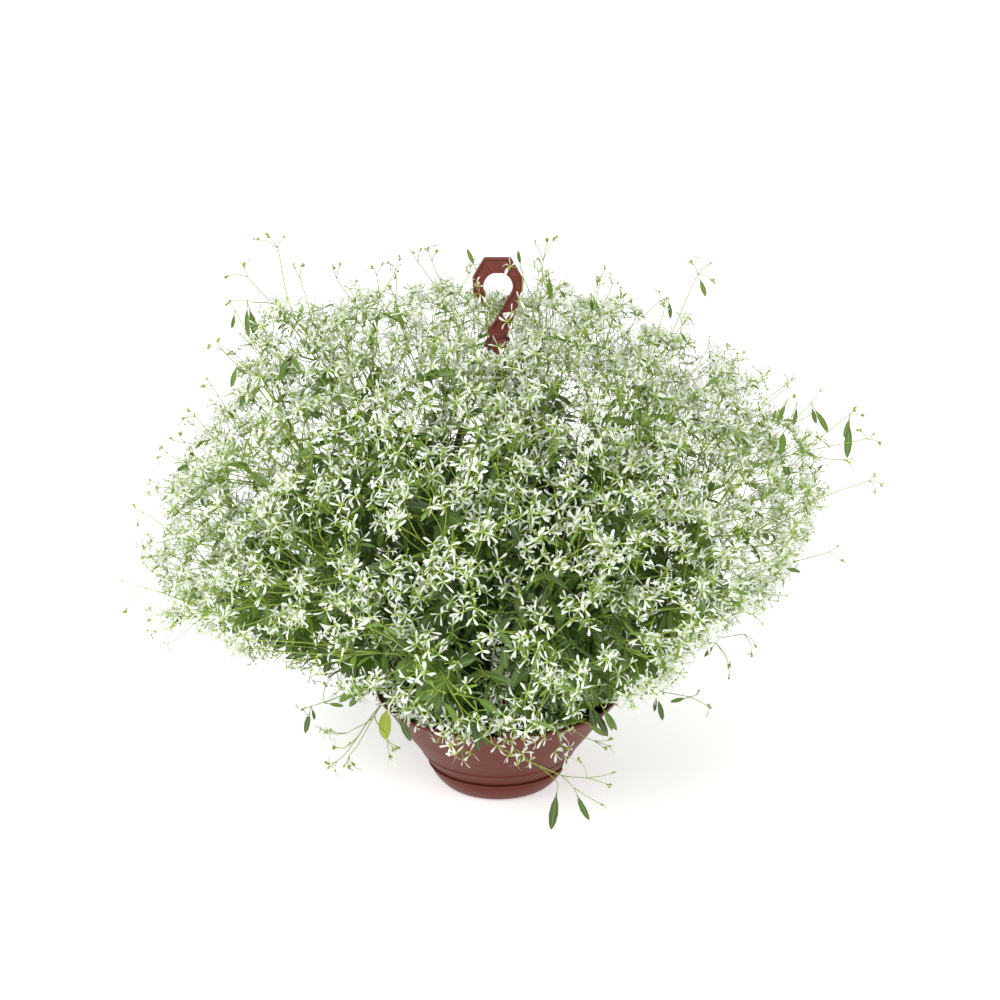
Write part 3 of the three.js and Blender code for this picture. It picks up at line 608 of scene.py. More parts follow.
def bract_finish(white, foot):
    """A bract: white, running into green where it narrows at its foot."""
    finish = Finish("bract_surface")
    along = finish.mark("along")
    tone = finish.mark("tone")
    fade = finish.node(
        "ShaderNodeMapRange",
        {"interpolation_type": "SMOOTHSTEP"},
        {"Value": along + tone * 0.12, "From Min": 0.12, "From Max": 0.56},
    )
    cream = tuple(white[i] * (0.92, 0.94, 0.78)[i] for i in range(3))
    petal = finish.mix(tone * 0.6, white, cream)
    shader = finish.surface(Base_Color=finish.mix(fade, foot, petal), Roughness=0.55, Specular_IOR_Level=0.3)
    return finish.show_thin(shader, white, 0.2)


def bud_finish(base):
    """Round buds, each a little yellower or greener than the next."""
    finish = Finish("bud_surface")
    tone = finish.mark("tone")
    green = (0.62 * base[0], 0.78 * base[1], 0.55 * base[2])
    pale = (min(1.0, 1.35 * base[0]), min(1.0, 1.3 * base[1]), 1.7 * base[2])
    shader = finish.surface(
        Base_Color=finish.mix(tone, green, pale), Roughness=0.42, Specular_IOR_Level=0.4
    )
    return finish.show(shader)


def floor_finish(base):
    """A plain pale floor with a barely seen unevenness."""
    finish = Finish("studio_floor")
    grey = tuple(0.985 * channel for channel in base)
    shade = finish.mix(finish.noise(3.0, 2.0), grey, base)
    shader = finish.surface(
        Base_Color=shade,
        Roughness=0.8,
        Specular_IOR_Level=0.1,
        Emission_Color=(1.0, 1.0, 1.0),
        Emission_Strength=FLOOR_GLOW,
    )
    return finish.show(shader)


# Mesh building

class Shape:
    """Points, faces and what each point is marked with, gathered into one object."""

    MARKS = ("tone", "along", "across")

    def __init__(self):
        self.points = []
        self.faces = []
        self.marks = {name: [] for name in self.MARKS}
        self.count = 0

    def add(self, points, faces, **marks):
        """Adds points, and faces that count from 0. A mark is one number or one for each point."""
        points = np.asarray(points, float).reshape(-1, 3)
        faces = np.asarray(faces)
        self.points.append(points)
        self.faces.append(faces + self.count)
        for name in self.MARKS:
            self.marks[name].append(np.broadcast_to(marks.get(name, 0.5), len(points)))
        self.count += len(points)

    def add_to_scene(self, name, materials, slot, nodes, sharp_angle=None):
        """Makes the object, puts it on the root body, and hides the nodes that it stands for."""
        mesh = bpy.data.meshes.new(name)
        points = np.concatenate(self.points)
        sizes = np.concatenate([np.full(len(faces), faces.shape[1]) for faces in self.faces])
        loops = np.concatenate([faces.ravel() for faces in self.faces])
        mesh.vertices.add(len(points))
        mesh.vertices.foreach_set("co", points.ravel())
        mesh.loops.add(len(loops))
        mesh.loops.foreach_set("vertex_index", loops.astype(np.int32))
        mesh.polygons.add(len(sizes))
        starts = np.concatenate([[0], np.cumsum(sizes)[:-1]])
        mesh.polygons.foreach_set("loop_start", starts.astype(np.int32))
        for mark in self.MARKS:
            stored = mesh.attributes.new(mark, "FLOAT", "POINT")
            stored.data.foreach_set("value", np.concatenate(self.marks[mark]).astype(np.float32))
        mesh.update(calc_edges=True)
        mesh.validate()
        mesh.shade_smooth()
        if sharp_angle is not None:
            mesh.set_sharp_from_angle(angle=sharp_angle)
        for material in materials:
            mesh.materials.append(material)
        made = bpy.data.objects.new(name, mesh)
        bpy.context.scene.collection.objects.link(made)
        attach(made, "root")
        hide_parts(*nodes)


def unit(vector):
    return vector / (np.linalg.norm(vector, axis=-1, keepdims=True) + 1e-12)


def rounded(corners, closed=False, steps=4):
    """An outline from corners (x, y, rounding), each turned into a smooth bend between held edges."""
    places = [np.array(corner[:2], float) for corner in corners]
    outline = []
    for i, corner in enumerate(corners):
        at_end = not closed and i in (0, len(corners) - 1)
        if at_end or corner[2] == 0:
            outline.append(places[i])
            continue
        before = places[i - 1] - places[i]
        after = places[(i + 1) % len(places)] - places[i]
        reach = min(corner[2], 0.45 * np.linalg.norm(before), 0.45 * np.linalg.norm(after))
        start = places[i] + unit(before) * reach
        end = places[i] + unit(after) * reach
        outline.append(start + unit(before) * 0.1 * reach)
        for t in np.linspace(0, 1, steps):
            outline.append((1 - t) ** 2 * start + 2 * t * (1 - t) * places[i] + t * t * end)
        outline.append(end + unit(after) * 0.1 * reach)
    return np.array(outline)


def band_faces(levels, count, first=0):
    """Four-sided faces between rings of equal count, each ring after the other."""
    here = np.arange(count)
    there = (here + 1) % count
    level = first + np.arange(levels - 1)[:, None] * count
    quads = np.stack([level + here, level + there, level + count + there, level + count + here], -1)
    return quads.reshape(-1, 4)


def turned(profile, segments=ROUND_SEGMENTS):
    """Points and faces of a round body about +Z from (radius, height) pairs that start and end on it."""
    angles = 2 * math.pi * np.arange(segments) / segments
    middle = np.array(profile)[1:-1]
    rings = np.stack([
        middle[:, :1] * np.cos(angles), middle[:, :1] * np.sin(angles), middle[:, 1:] + 0 * angles
    ], axis=-1)
    points = np.concatenate([[[0, 0, profile[0][1]]], rings.reshape(-1, 3), [[0, 0, profile[-1][1]]]])
    here = np.arange(segments)
    there = (here + 1) % segments
    final = 1 + (len(middle) - 1) * segments
    start_fan = np.stack([np.zeros(segments, int), there + 1, here + 1], -1)
    end_fan = np.stack([np.full(segments, len(points) - 1), final + here, final + there], -1)
    return points, [band_faces(len(middle), segments, 1), np.concatenate([start_fan, end_fan])]


def add_turned(shape, profile, segments=ROUND_SEGMENTS):
    points, groups = turned(profile, segments)
    start = shape.count
    shape.add(points, groups[0])
    shape.faces.append(groups[1] + start)


def side_axes(directions):
    """Two axes square to each direction. All steps of one line share the same starting axis."""
    mean = np.abs(directions.mean(axis=-2, keepdims=True))
    start = np.eye(3)[np.argmin(mean, axis=-1)]
    first = unit(np.cross(directions, np.broadcast_to(start, directions.shape)))
    return first, np.cross(directions, first)


def add_tubes(shape, lines, radii, sides, tone):
    """Closed round rods. Lines is (rods, steps, 3) and radii is (rods, steps)."""
    lines = np.asarray(lines, float)
    if not lines.size:
        return
    radii = np.asarray(radii, float)
    count, steps = radii.shape
    directions = unit(np.gradient(lines, axis=1))
    first, second = side_axes(directions)
    angles = 2 * math.pi * np.arange(sides) / sides
    spokes = (
        first[:, :, None] * np.cos(angles)[None, None, :, None]
        + second[:, :, None] * np.sin(angles)[None, None, :, None]
    )
    points = lines[:, :, None] + radii[:, :, None, None] * spokes
    quads = band_faces(steps, sides)
    top = (steps - 1) * sides
    fan = np.arange(1, sides - 1)
    caps = np.concatenate([
        np.stack([np.zeros_like(fan), fan + 1, fan], -1),
        np.stack([np.full_like(fan, top), top + fan, top + fan + 1], -1),
    ])
    offsets = np.arange(count)[:, None, None] * steps * sides
    start = shape.count
    shape.add(points, (quads[None] + offsets).reshape(-1, 4), tone=np.repeat(tone, steps * sides))
    shape.faces.append((caps[None] + offsets).reshape(-1, 3) + start)


def add_blades(shape, blades, stations, widths, midrib=True):
    """Thin leaves or bracts, curled towards the back of their face. A midrib folds them lengthwise.

    Stations are shares of the length, and widths the shares of the full width there."""
    if not blades:
        return
    foot, along, face, length, width, curl, fold, tone = (np.array(part) for part in zip(*blades))
    along = unit(along)
    face = unit(face - along * (face * along).sum(-1, keepdims=True))
    side = np.cross(along, face)
    t = np.asarray(stations)[None, :]
    bend = curl[:, None] * t
    safe = np.where(np.abs(curl) < 1e-3, 1e-3, curl)[:, None]
    forward = np.sin(safe * t) / safe
    drop = (1 - np.cos(safe * t)) / safe
    line = foot[:, None] + length[:, None, None] * (
        forward[..., None] * along[:, None] - drop[..., None] * face[:, None]
    )
    up = np.cos(bend)[..., None] * face[:, None] + np.sin(bend)[..., None] * along[:, None]
    half = 0.5 * width[:, None, None] * np.asarray(widths)[None, :, None]
    lift = up * half * fold[:, None, None]
    left = line - side[:, None] * half + lift
    right = line + side[:, None] * half + lift
    strands = [left, line, right] if midrib else [left, right]
    points = np.stack(strands, axis=2)
    count, steps, wide = len(foot), len(stations), len(strands)
    row = np.arange(steps - 1)[:, None] * wide
    column = np.arange(wide - 1)[None, :]
    corner = row + column
    quads = np.stack([corner, corner + 1, corner + wide + 1, corner + wide], -1).reshape(-1, 4)
    offsets = np.arange(count)[:, None, None] * steps * wide
    marks = {
        "along": np.tile(np.repeat(np.asarray(stations), wide), count),
        "across": np.tile(np.linspace(-1, 1, wide), count * steps),
        "tone": np.repeat(tone, steps * wide),
    }
    shape.add(points, (quads[None] + offsets).reshape(-1, 4), **marks)


def ball(segments, rings):
    """A unit ball's points and faces: its poles lie on the third axis."""
    profile = [
        (math.sin(math.pi * i / (rings + 1)), -math.cos(math.pi * i / (rings + 1)))
        for i in range(rings + 2)
    ]
    return turned(profile, segments)


def add_balls(shape, balls, segments=5, rings=2):
    """Small egg shapes from (middle, axis, radius, half length, tone)."""
    if not balls:
        return
    middle, axis, radius, half, tone = (np.array(part) for part in zip(*balls))
    points, groups = ball(segments, rings)
    axis = unit(axis)
    first, second = side_axes(axis[:, None])
    offsets = np.arange(len(middle))[:, None, None] * len(points)
    placed = (
        middle[:, None]
        + radius[:, None, None] * (points[None, :, :1] * first + points[None, :, 1:2] * second)
        + half[:, None, None] * points[None, :, 2:] * axis[:, None]
    )
    start = shape.count
    shape.add(placed, (groups[0][None] + offsets).reshape(-1, 4), tone=np.repeat(tone, len(points)))
    shape.faces.append((groups[1][None] + offsets).reshape(-1, 3) + start)


# Pot, saucer and soil

def wall_radius(height):
    return NOTCH_RADIUS + WALL_FLARE * (height - NOTCH_HEIGHT)


def pot_profile():
    """The pot's outside from the middle of its floor to the rim, and its inside back down."""
    band = RIM_HEIGHT - RIM_BAND
    floor_top = POT_FLOOR + WALL_THICKNESS
    outside = [
        (0, POT_FLOOR, 0),
        (44 * MM, POT_FLOOR, 1.5 * MM),
        (52 * MM, 7.5 * MM, 3 * MM),
        (59 * MM, 14.5 * MM, 4 * MM),
        (62.6 * MM, NOTCH_HEIGHT, 1 * MM),
        (63 * MM, LIP_TOP + 0.35 * MM, 0.3 * MM),
        (wall_radius(LIP_TOP) + 0.3 * MM, LIP_TOP + 0.35 * MM, 0.6 * MM),
        (wall_radius(LOW_STEP_HEIGHT) + 0.3 * MM, LOW_STEP_HEIGHT, 0.5 * MM),
        (wall_radius(LOW_STEP_HEIGHT) - 0.2 * MM, LOW_STEP_HEIGHT + 0.8 * MM, 0.5 * MM),
        (wall_radius(BAND_STEP_HEIGHT), BAND_STEP_HEIGHT, 0.5 * MM),
        (wall_radius(BAND_STEP_HEIGHT) + BAND_STEP, BAND_STEP_HEIGHT + 0.6 * MM, 0.5 * MM),
        (wall_radius(band) + 0.4 * MM, band, 0.5 * MM),
        (RIM_RADIUS, band + 0.8 * MM, 0.7 * MM),
        (RIM_RADIUS, RIM_HEIGHT, 1.0 * MM),
    ]
    inside = [
        (RIM_RADIUS - WALL_THICKNESS, RIM_HEIGHT, 1.0 * MM),
        (wall_radius(band) - WALL_THICKNESS, band - 2 * MM, 1.5 * MM),
        (wall_radius(26 * MM) - WALL_THICKNESS, 26 * MM, 2 * MM),
        (59.4 * MM, NOTCH_HEIGHT, 2 * MM),
        (56 * MM, 15.5 * MM, 3 * MM),
        (50 * MM, 9.6 * MM, 3 * MM),
        (43 * MM, floor_top, 2 * MM),
        (0, floor_top, 0),
    ]
    return rounded(outside + inside)


def saucer_profile():
    """The saucer's outside up to its lip, and its inside with the ring that carries the pot."""
    outside = [
        (0, 0, 0),
        (50 * MM, 0, 1.5 * MM),
        (54 * MM, 2 * MM, 2.5 * MM),
        (60.5 * MM, 9 * MM, 5 * MM),
        (64.6 * MM, 16 * MM, 4 * MM),
        (65.6 * MM, LIP_TOP - 2.1 * MM, 0.8 * MM),
        (LIP_RADIUS, LIP_TOP - 1.6 * MM, 0.5 * MM),
        (LIP_RADIUS, LIP_TOP, 0.6 * MM),
    ]
    inside = [
        (63.6 * MM, LIP_TOP, 0.4 * MM),
        (63.6 * MM, LIP_TOP - 2.1 * MM, 0.4 * MM),
        (64.6 * MM - SAUCER_WALL, 16 * MM, 2 * MM),
        (60 * MM - SAUCER_WALL, 10 * MM, 3 * MM),
        (50 * MM, SAUCER_WALL, 3 * MM),
        (38 * MM, SAUCER_WALL, 0.3 * MM),
        (38 * MM, 3.7 * MM, 0.3 * MM),
        (36 * MM, 3.7 * MM, 0.3 * MM),
        (36 * MM, SAUCER_WALL, 0.3 * MM),
        (0, SAUCER_WALL, 0),
    ]
    return rounded(outside + inside)


def soil_profile():
    """The root ball's sides, and its top with close rings for the rough surface."""
    inner = RIM_RADIUS - WALL_FLARE * (RIM_HEIGHT - SOIL_TOP) - WALL_THICKNESS - 0.6 * MM
    sides = [
        (0, SOIL_LOW[2]),
        (42 * MM, SOIL_LOW[2]),
        (49 * MM, 10.6 * MM),
        (55 * MM, 16.5 * MM),
        (58 * MM, NOTCH_HEIGHT + 1 * MM),
        (wall_radius(27 * MM) - WALL_THICKNESS - 0.6 * MM, 27 * MM),
        (inner - 4 * MM, SOIL_TOP - 5 * MM),
    ]
    top = [(inner - (5 + 2.4 * i) * MM, SOIL_TOP - 2.2 * MM) for i in range(37)]
    return sides + [place for place in top if place[0] > 1 * MM] + [(0, SOIL_TOP - 2.2 * MM)]


class EUPHORBIA_OT_pot(bpy.types.Operator):
    """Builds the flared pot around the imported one."""

    bl_idname = "euphorbia.make_pot"
    bl_label = "Make pot"

    def execute(self, context):
        settings = context.scene.euphorbia_pot
        shape = Shape()
        add_turned(shape, pot_profile())
        finish = plastic("moulded_pot", settings.pot_colour, 0.42)
        shape.add_to_scene("flower_pot", [finish], "pot_plastic", ["pot"])
        return {"FINISHED"}


class EUPHORBIA_OT_saucer(bpy.types.Operator):
    """Builds the clip-on drip saucer."""

    bl_idname = "euphorbia.make_saucer"
    bl_label = "Make saucer"

    def execute(self, context):
        settings = context.scene.euphorbia_pot
        shape = Shape()
        add_turned(shape, saucer_profile())
        finish = plastic("moulded_saucer", settings.saucer_colour, 0.42)
        shape.add_to_scene("saucer", [finish], "saucer_plastic", ["drip_saucer"])
        return {"FINISHED"}


class EUPHORBIA_OT_soil(bpy.types.Operator):
    """Builds the potting mix with a crumbly top."""

    bl_idname = "euphorbia.make_soil"
    bl_label = "Make soil"

    def execute(self, context):
        settings = context.scene.euphorbia_pot
        draw = random.Random(SEED)
        shape = Shape()
        add_turned(shape, soil_profile(), 96)
        points = shape.points[0]
        for i in np.flatnonzero(points[:, 2] > SOIL_TOP - SOIL_RELIEF):
            place = Vector(points[i]) / MM
            points[i, 2] += (1.3 * noise.noise(place * 0.09) + 0.9 * noise.noise(place * 0.4)) * MM
        crumbs = []
        for _ in range(CRUMBS):
            radius = CRUMB_SPREAD * math.sqrt(draw.random())
            azimuth = 2 * math.pi * draw.random()
            middle = polar(radius, azimuth, SOIL_TOP - 1.6 * MM)
            size = draw.uniform(0.8, 2.2) * MM
            crumbs.append((middle, random_unit(draw), size, size * draw.uniform(0.9, 2.0), draw.random()))
        add_balls(shape, crumbs, 6, 3)
        shape.add_to_scene("soil", [soil_finish(settings.soil_colour)], "soil", ["potting_mix"])
        return {"FINISHED"}


# Hanger

def eye_arc(first, last):
    """Part of the hook's round eye, in millimetres, between two angles in degrees."""
    radius = EYE_RADIUS / MM
    turns = [math.radians(angle) for angle in range(first, last, EYE_STEP)]
    return [(radius * math.cos(turn), EYE_MIDDLE / MM + radius * math.sin(turn), 0) for turn in turns]


def hook_outline():
    """The question mark, seen from the front: a cornered outside, and a round eye with a flat seat."""
    outside = [
        (-13.5, 467, 1.6), (-22.2, 475, 1.6), (-22.8, 489, 1.6), (-12.3, 507, 1.6), (11.3, 507, 1.6),
        (22.8, 487, 1.6), (22, 475, 3), (13.4, 452, 2), (9, 441, 0.6), (-8.5, 441, 0.6), (0.8, 456, 4),
    ]
    seat = [(4, 493.37, 0), (-4, 493.37, 0)]
    eye = eye_arc(-45, 70) + seat + eye_arc(115, 223)
    return anticlockwise(rounded(outside + eye, closed=True) * MM)


def inset(outline, distance):
    """The closed outline moved inwards, to its left as it runs."""
    before = unit(outline - np.roll(outline, 1, axis=0))
    after = unit(np.roll(outline, -1, axis=0) - outline)
    normals = np.stack([-(before + after)[:, 1], (before + after)[:, 0]], -1)
    half = np.maximum(np.linalg.norm(before + after, axis=1, keepdims=True) / 2, 0.35)
    return outline + unit(normals) * distance / half


def anticlockwise(outline):
    """The closed outline, turned round if it runs clockwise."""
    x, y = outline.T
    area = (x * np.roll(y, -1) - y * np.roll(x, -1)).sum()
    return outline if area > 0 else outline[::-1]


def add_stack(shape, loops):
    """A body from equal loops of points, one after the other, closed by flat faces at both ends."""
    levels, count = loops.shape[:2]
    here = np.arange(count)[None]
    start = shape.count
    shape.add(loops, band_faces(levels, count))
    shape.faces.append(start + here[:, ::-1])
    shape.faces.append(start + (levels - 1) * count + here)


def add_plate(shape, loops, placed):
    """A plate from outlines and how far each is from the plate's middle."""
    add_stack(shape, np.stack([placed(outline, offset) for outline, offset in loops]))


def add_channel_plate(shape, outline, thickness, edge, pocket, placed):
    """A plate with raised edges on both faces: a thin web inside an edge all round."""
    half = thickness / 2
    front = [
        (outline, half - CHAMFER),
        (inset(outline, CHAMFER), half),
        (inset(outline, edge - CHAMFER), half),
        (inset(outline, edge), half - CHAMFER),
        (inset(outline, edge + 0.25 * MM), half - pocket),
    ]
    back = [(loop, -offset) for loop, offset in reversed(front)]
    add_plate(shape, back + front, placed)


def add_bar(shape, start, end, up, width, height):
    """A straight bar with a rectangular section and slightly drawn-in ends."""
    along = unit(end - start)
    side = unit(np.cross(along, up)) * width / 2
    level = np.cross(unit(side), along) * height / 2
    taper = 0.2 * MM * along
    section = np.array([a * side + b * level for a, b in ((-1, -1), (1, -1), (1, 1), (-1, 1))])
    places = ((start, 0.94), (start + taper, 1), (end - taper, 1), (end, 0.94))
    add_stack(shape, np.array([place + share * section for place, share in places]))


def facing_front(outline, offset):
    return np.stack([outline[:, 0], np.full(len(outline), -offset), outline[:, 1]], -1)


def hook_rib_stations():
    """Where the cross ribs lie: round the eye, then down the hook's neck."""
    middle = EYE_RADIUS + 4.9 * MM
    stations = []
    for angle in (196, 159, 122, 90, 58, 22, -14, -40):
        turn = math.radians(angle)
        away = np.array([math.cos(turn), 0, math.sin(turn)])
        stations.append((np.array([0, 0, EYE_MIDDLE]) + middle * away, away))
    stations.append((point(8.8, 0, 459), unit(np.array([1, 0, -0.5]))))
    stations.append((point(3.4, 0, 449), unit(np.array([1, 0, -0.4]))))
    return stations


class EUPHORBIA_OT_hook(bpy.types.Operator):
    """Builds the ribbed question-mark hook with its crossbar and hub."""

    bl_idname = "euphorbia.make_hook"
    bl_label = "Make hook"

    def execute(self, context):
        settings = context.scene.euphorbia_pot
        shape = Shape()
        add_channel_plate(shape, hook_outline(), HOOK_THICKNESS, HOOK_EDGE, HOOK_POCKET, facing_front)
        front = np.array([0, -1, 0])
        for middle, away in hook_rib_stations():
            reach = RIB_REACH * away
            add_bar(shape, middle - reach, middle + reach, front, HOOK_RIB, HOOK_THICKNESS - 0.8 * MM)
        bar_ends = [np.array([x, 0, HUB_HEIGHT]) for x in (-CROSSBAR_REACH, CROSSBAR_REACH)]
        add_bar(shape, *bar_ends, front, CROSSBAR_DEPTH, CROSSBAR_HEIGHT)
        hub = rounded([(0, 434.5, 0), (8, 434.5, 0.6), (8, 439.5, 0.6), (0, 439.5, 0)]) * MM
        add_turned(shape, hub, 48)
        finish = plastic("moulded_hanger", settings.hanger_colour, 0.45)
        shape.add_to_scene("hook", [finish], "hanger_plastic", ["hanger_hook"], SHARP_ANGLE)
        return {"FINISHED"}


def arm_route():
    """The strap's middle line in the plane of its arm, as (distance from the axis, height)."""
    top = HUB_HEIGHT - 6.8 * MM
    foot = RIM_RADIUS - WALL_THICKNESS - 0.2 * MM
    corners = [
        (HUB_RADIUS - ARM_THICKNESS / 2, top, 0),
        (HUB_RADIUS + 1.2 * MM, top - 6 * MM, 6 * MM),
        (foot - 0.5 * MM, RIM_HEIGHT + 7.3 * MM, 0),
    ]
    straight = rounded(corners)
    more = [straight[-2] + (straight[-1] - straight[-2]) * t for t in np.linspace(0.04, 0.96, 24)]
    return np.concatenate([straight[:-1], more, straight[-1:]])


def channel_section():
    """The strap's section: across its width, and out from the axis, with raised edges outside."""
    half = ARM_WIDTH / 2
    inner = half - ARM_EDGE
    thick = ARM_THICKNESS / 2
    web = thick - ARM_POCKET
    right_half = [
        (half, -thick, 0.5 * MM),
        (half, thick, 0.5 * MM),
        (inner, thick, 0.4 * MM),
        (inner, web, 0.4 * MM),
    ]
    left_half = [(-x, y, rounding) for x, y, rounding in reversed(right_half)]
    return rounded(left_half[-1:] + right_half + left_half[:-1], closed=True, steps=3)


def clip_outline():
    """The clip that straddles the rim, in the plane of its arm."""
    inner = RIM_RADIUS - WALL_THICKNESS - 1.4 * MM
    outer = RIM_RADIUS + 0.3 * MM
    top = RIM_HEIGHT + 3.3 * MM
    corners = [
        (inner - 2.6 * MM, top, 1),
        (inner - 4.5 * MM, RIM_HEIGHT - 5 * MM, 0.8),
        (inner - 2.5 * MM, RIM_HEIGHT - 5 * MM, 0.8),
        (inner, RIM_HEIGHT + 0.3 * MM, 0.5),
        (outer, RIM_HEIGHT + 0.3 * MM, 0.5),
        (outer, RIM_HEIGHT - 9 * MM, 0.5),
        (outer + 2 * MM, RIM_HEIGHT - 9 * MM, 0.8),
        (outer + 2 * MM, top, 1.5),
        (inner + 3 * MM, top + 4 * MM, 1.5),
        (inner - 0.6 * MM, top + 4 * MM, 1.5),
    ]
    return anticlockwise(rounded([(x, y, r * MM) for x, y, r in corners], closed=True, steps=3))


def add_arm(shape, azimuth):
    """One strap, its cross ribs and its clip, turned to its azimuth."""
    out = np.array([math.cos(azimuth), math.sin(azimuth), 0])
    across = np.array([-out[1], out[0], 0])
    route = arm_route()
    section = channel_section()
    line = route[:, :1] * out + route[:, 1:] * UP
    along = unit(np.gradient(line, axis=0))
    away = np.cross(along, across)
    away *= np.sign((away @ out))[:, None]
    add_stack(shape, line[:, None] + section[None, :, :1] * across + section[None, :, 1:] * away[:, None])
    for share in np.linspace(0.08, 0.94, ARM_RIBS):
        k = int(share * (len(line) - 1))
        middle = line[k] + away[k] * (ARM_THICKNESS / 2 - ARM_POCKET + 0.35 * MM)
        reach = across * (ARM_WIDTH / 2 - ARM_EDGE + 0.3 * MM)
        add_bar(shape, middle - reach, middle + reach, away[k], 1.3 * MM, 0.9 * MM)
    outline = clip_outline()
    half = ARM_WIDTH / 2
    stack = [
        (inset(outline, CLIP_CHAMFER), -half),
        (outline, -half + CLIP_CHAMFER),
        (outline, half - CLIP_CHAMFER),
        (inset(outline, CLIP_CHAMFER), half),
    ]
    add_plate(shape, stack, lambda loop, offset: loop[:, :1] * out + loop[:, 1:] * UP - offset * across)


def arm_azimuth(node):
    middle = points_of(node).mean(axis=0)
    return math.atan2(middle[1], middle[0])


class EUPHORBIA_OT_arms(bpy.types.Operator):
    """Builds the three ribbed straps that run from the hub to clips on the rim."""

    bl_idname = "euphorbia.make_arms"
    bl_label = "Make hanger arms"

    def execute(self, context):
        finish = bpy.data.materials["moulded_hanger"]
        for node in ARM_NODES:
            shape = Shape()
            add_arm(shape, arm_azimuth(node))
            name = node.replace("hanger_arm", "strap")
            shape.add_to_scene(name, [finish], "hanger_plastic", [node], SHARP_ANGLE)
        return {"FINISHED"}


# Where things stand in the photograph

def view_frame():
    """The camera's place, and its axes to the right, up and forward."""
    forward = np.array([0, math.cos(VIEW_ELEVATION), -math.sin(VIEW_ELEVATION)])
    up = np.array([0, math.sin(VIEW_ELEVATION), math.cos(VIEW_ELEVATION)])
    return VIEW_TARGET - VIEW_DISTANCE * forward, np.array([1.0, 0, 0]), up, forward


def in_picture(place):
    """The pixel of the photograph where a place is seen."""
    camera, right, up, forward = view_frame()
    reach = place - camera
    scale = FOCAL_PIXELS / (reach @ forward)
    return PICTURE_SIZE / 2 + scale * (reach @ right), PICTURE_SIZE / 2 - scale * (reach @ up)


def from_picture(x, y, depth):
    """The place seen at a pixel, on the upright plane at that distance in front of the pot's axis."""
    camera, right, up, forward = view_frame()
    across = (x - PICTURE_SIZE / 2) / FOCAL_PIXELS
    upward = (PICTURE_SIZE / 2 - y) / FOCAL_PIXELS
    ray = forward + right * across + up * upward
    return camera + ray * (-depth - camera[1]) / ray[1]


def edge_at(edge, x):
    xs, ys = zip(*edge)
    return float(np.interp(x, xs, ys))


def within_outline(place, slack):
    """Whether a place is seen inside the plant's outline, by at least so many pixels."""
    x, y = in_picture(place)
    if not UPPER_EDGE[0][0] + slack < x < UPPER_EDGE[-1][0] - slack:
        return False
    return edge_at(UPPER_EDGE, x) + slack < y < edge_at(LOWER_EDGE, x) - slack


def in_window(place, window):
    x, y = in_picture(place)
    return window[0] < x < window[2] and window[1] < y < window[3]


# Plant

def polar(radius, azimuth, height):
    return np.array([radius * math.cos(azimuth), radius * math.sin(azimuth), height])


def random_unit(draw):
    height = draw.uniform(-1, 1)
    return polar(math.sqrt(1 - height * height), draw.uniform(0, 2 * math.pi), height)


def random_across(draw, direction):
    return unit(np.cross(random_unit(draw), direction))


def mound_reach(tilt, azimuth):
    """How far the mound reaches from the middle of the rim."""
    widening = SIDE_STRETCH * math.cos(azimuth) - FRONT_STRETCH * math.sin(azimuth)
    roundness = MOUND_ROUNDNESS + ROUNDNESS_SWING * math.cos(azimuth - FULLEST_SHOULDER)
    across = (abs(math.sin(tilt)) / (SPREAD_RADIUS * (1 + widening))) ** roundness
    upward = (abs(math.cos(tilt)) / MOUND_RISE) ** roundness
    return (across + upward) ** (-1 / roundness)


def lowest_tilt(azimuth):
    return LOWEST_TILT - SIDE_LEAN * math.cos(azimuth)


ARM_AZIMUTHS = [arm_azimuth(node) for node in ARM_NODES]


def hanger_gap(places):
    """How far each place is clear of the nearest arm, or of the box round the hook."""
    places = np.asarray(places, float).reshape(-1, 3)
    gaps = []
    for azimuth in ARM_AZIMUTHS:
        start = polar(HUB_RADIUS, azimuth, HUB_HEIGHT - 10 * MM)
        end = polar(RIM_RADIUS, azimuth, RIM_HEIGHT - 4 * MM)
        way = end - start
        share = np.clip((places - start) @ way / (way @ way), 0, 1)
        gaps.append(np.linalg.norm(places - start - share[:, None] * way, axis=1) - ARM_WIDTH / 2)
    beyond = np.maximum(np.maximum(HOOK_LOW - places, places - HOOK_HIGH), 0)
    gaps.append(np.linalg.norm(beyond, axis=1))
    return np.min(gaps, axis=0)


def fits(place, slack):
    """Whether a cluster may stand at a place: in the outline, and clear of the hook and its arms."""
    if not within_outline(place, slack) or hanger_gap(place)[0] < CLUSTER_ROOM:
        return False
    if in_window(place, EYE_WINDOW) or not in_limits(place, CLUSTER_REACH):
        return False
    return place[1] > 0 or not any(in_window(place, window) for window in BARE_WINDOWS)


def pulled_in(tilt, azimuth, reach, slack):
    """The place at that reach from the middle of the rim, drawn in until it fits, or None."""
    direction = polar(math.sin(tilt), azimuth, math.cos(tilt))
    for _ in range(DRAW_IN_TRIES):
        place = RIM_MIDDLE + reach * direction
        if fits(place, slack):
            return place
        reach *= DRAW_IN
    return None


# Where a twig ends: in a flower cluster, or in a spray that the photograph shows
Tip = namedtuple("Tip", "place fullness spray leafy", defaults=(1.0, None, False))


def leafiness(place):
    """1 in the mound's leafy core, falling to 0 where only twigs and flowers are left."""
    out = np.linalg.norm((place - LEAFY_MIDDLE) / LEAFY_CORE)
    return float(np.clip((1.12 - out) / 0.3, 0, 1))


def even_tilt(i, count, azimuth, draw):
    """How far the i-th of so many clusters is tilted from upright, so that they lie evenly."""
    span = 1 - math.cos(lowest_tilt(azimuth))
    return math.acos(1 - (i + draw.random()) / count * span)


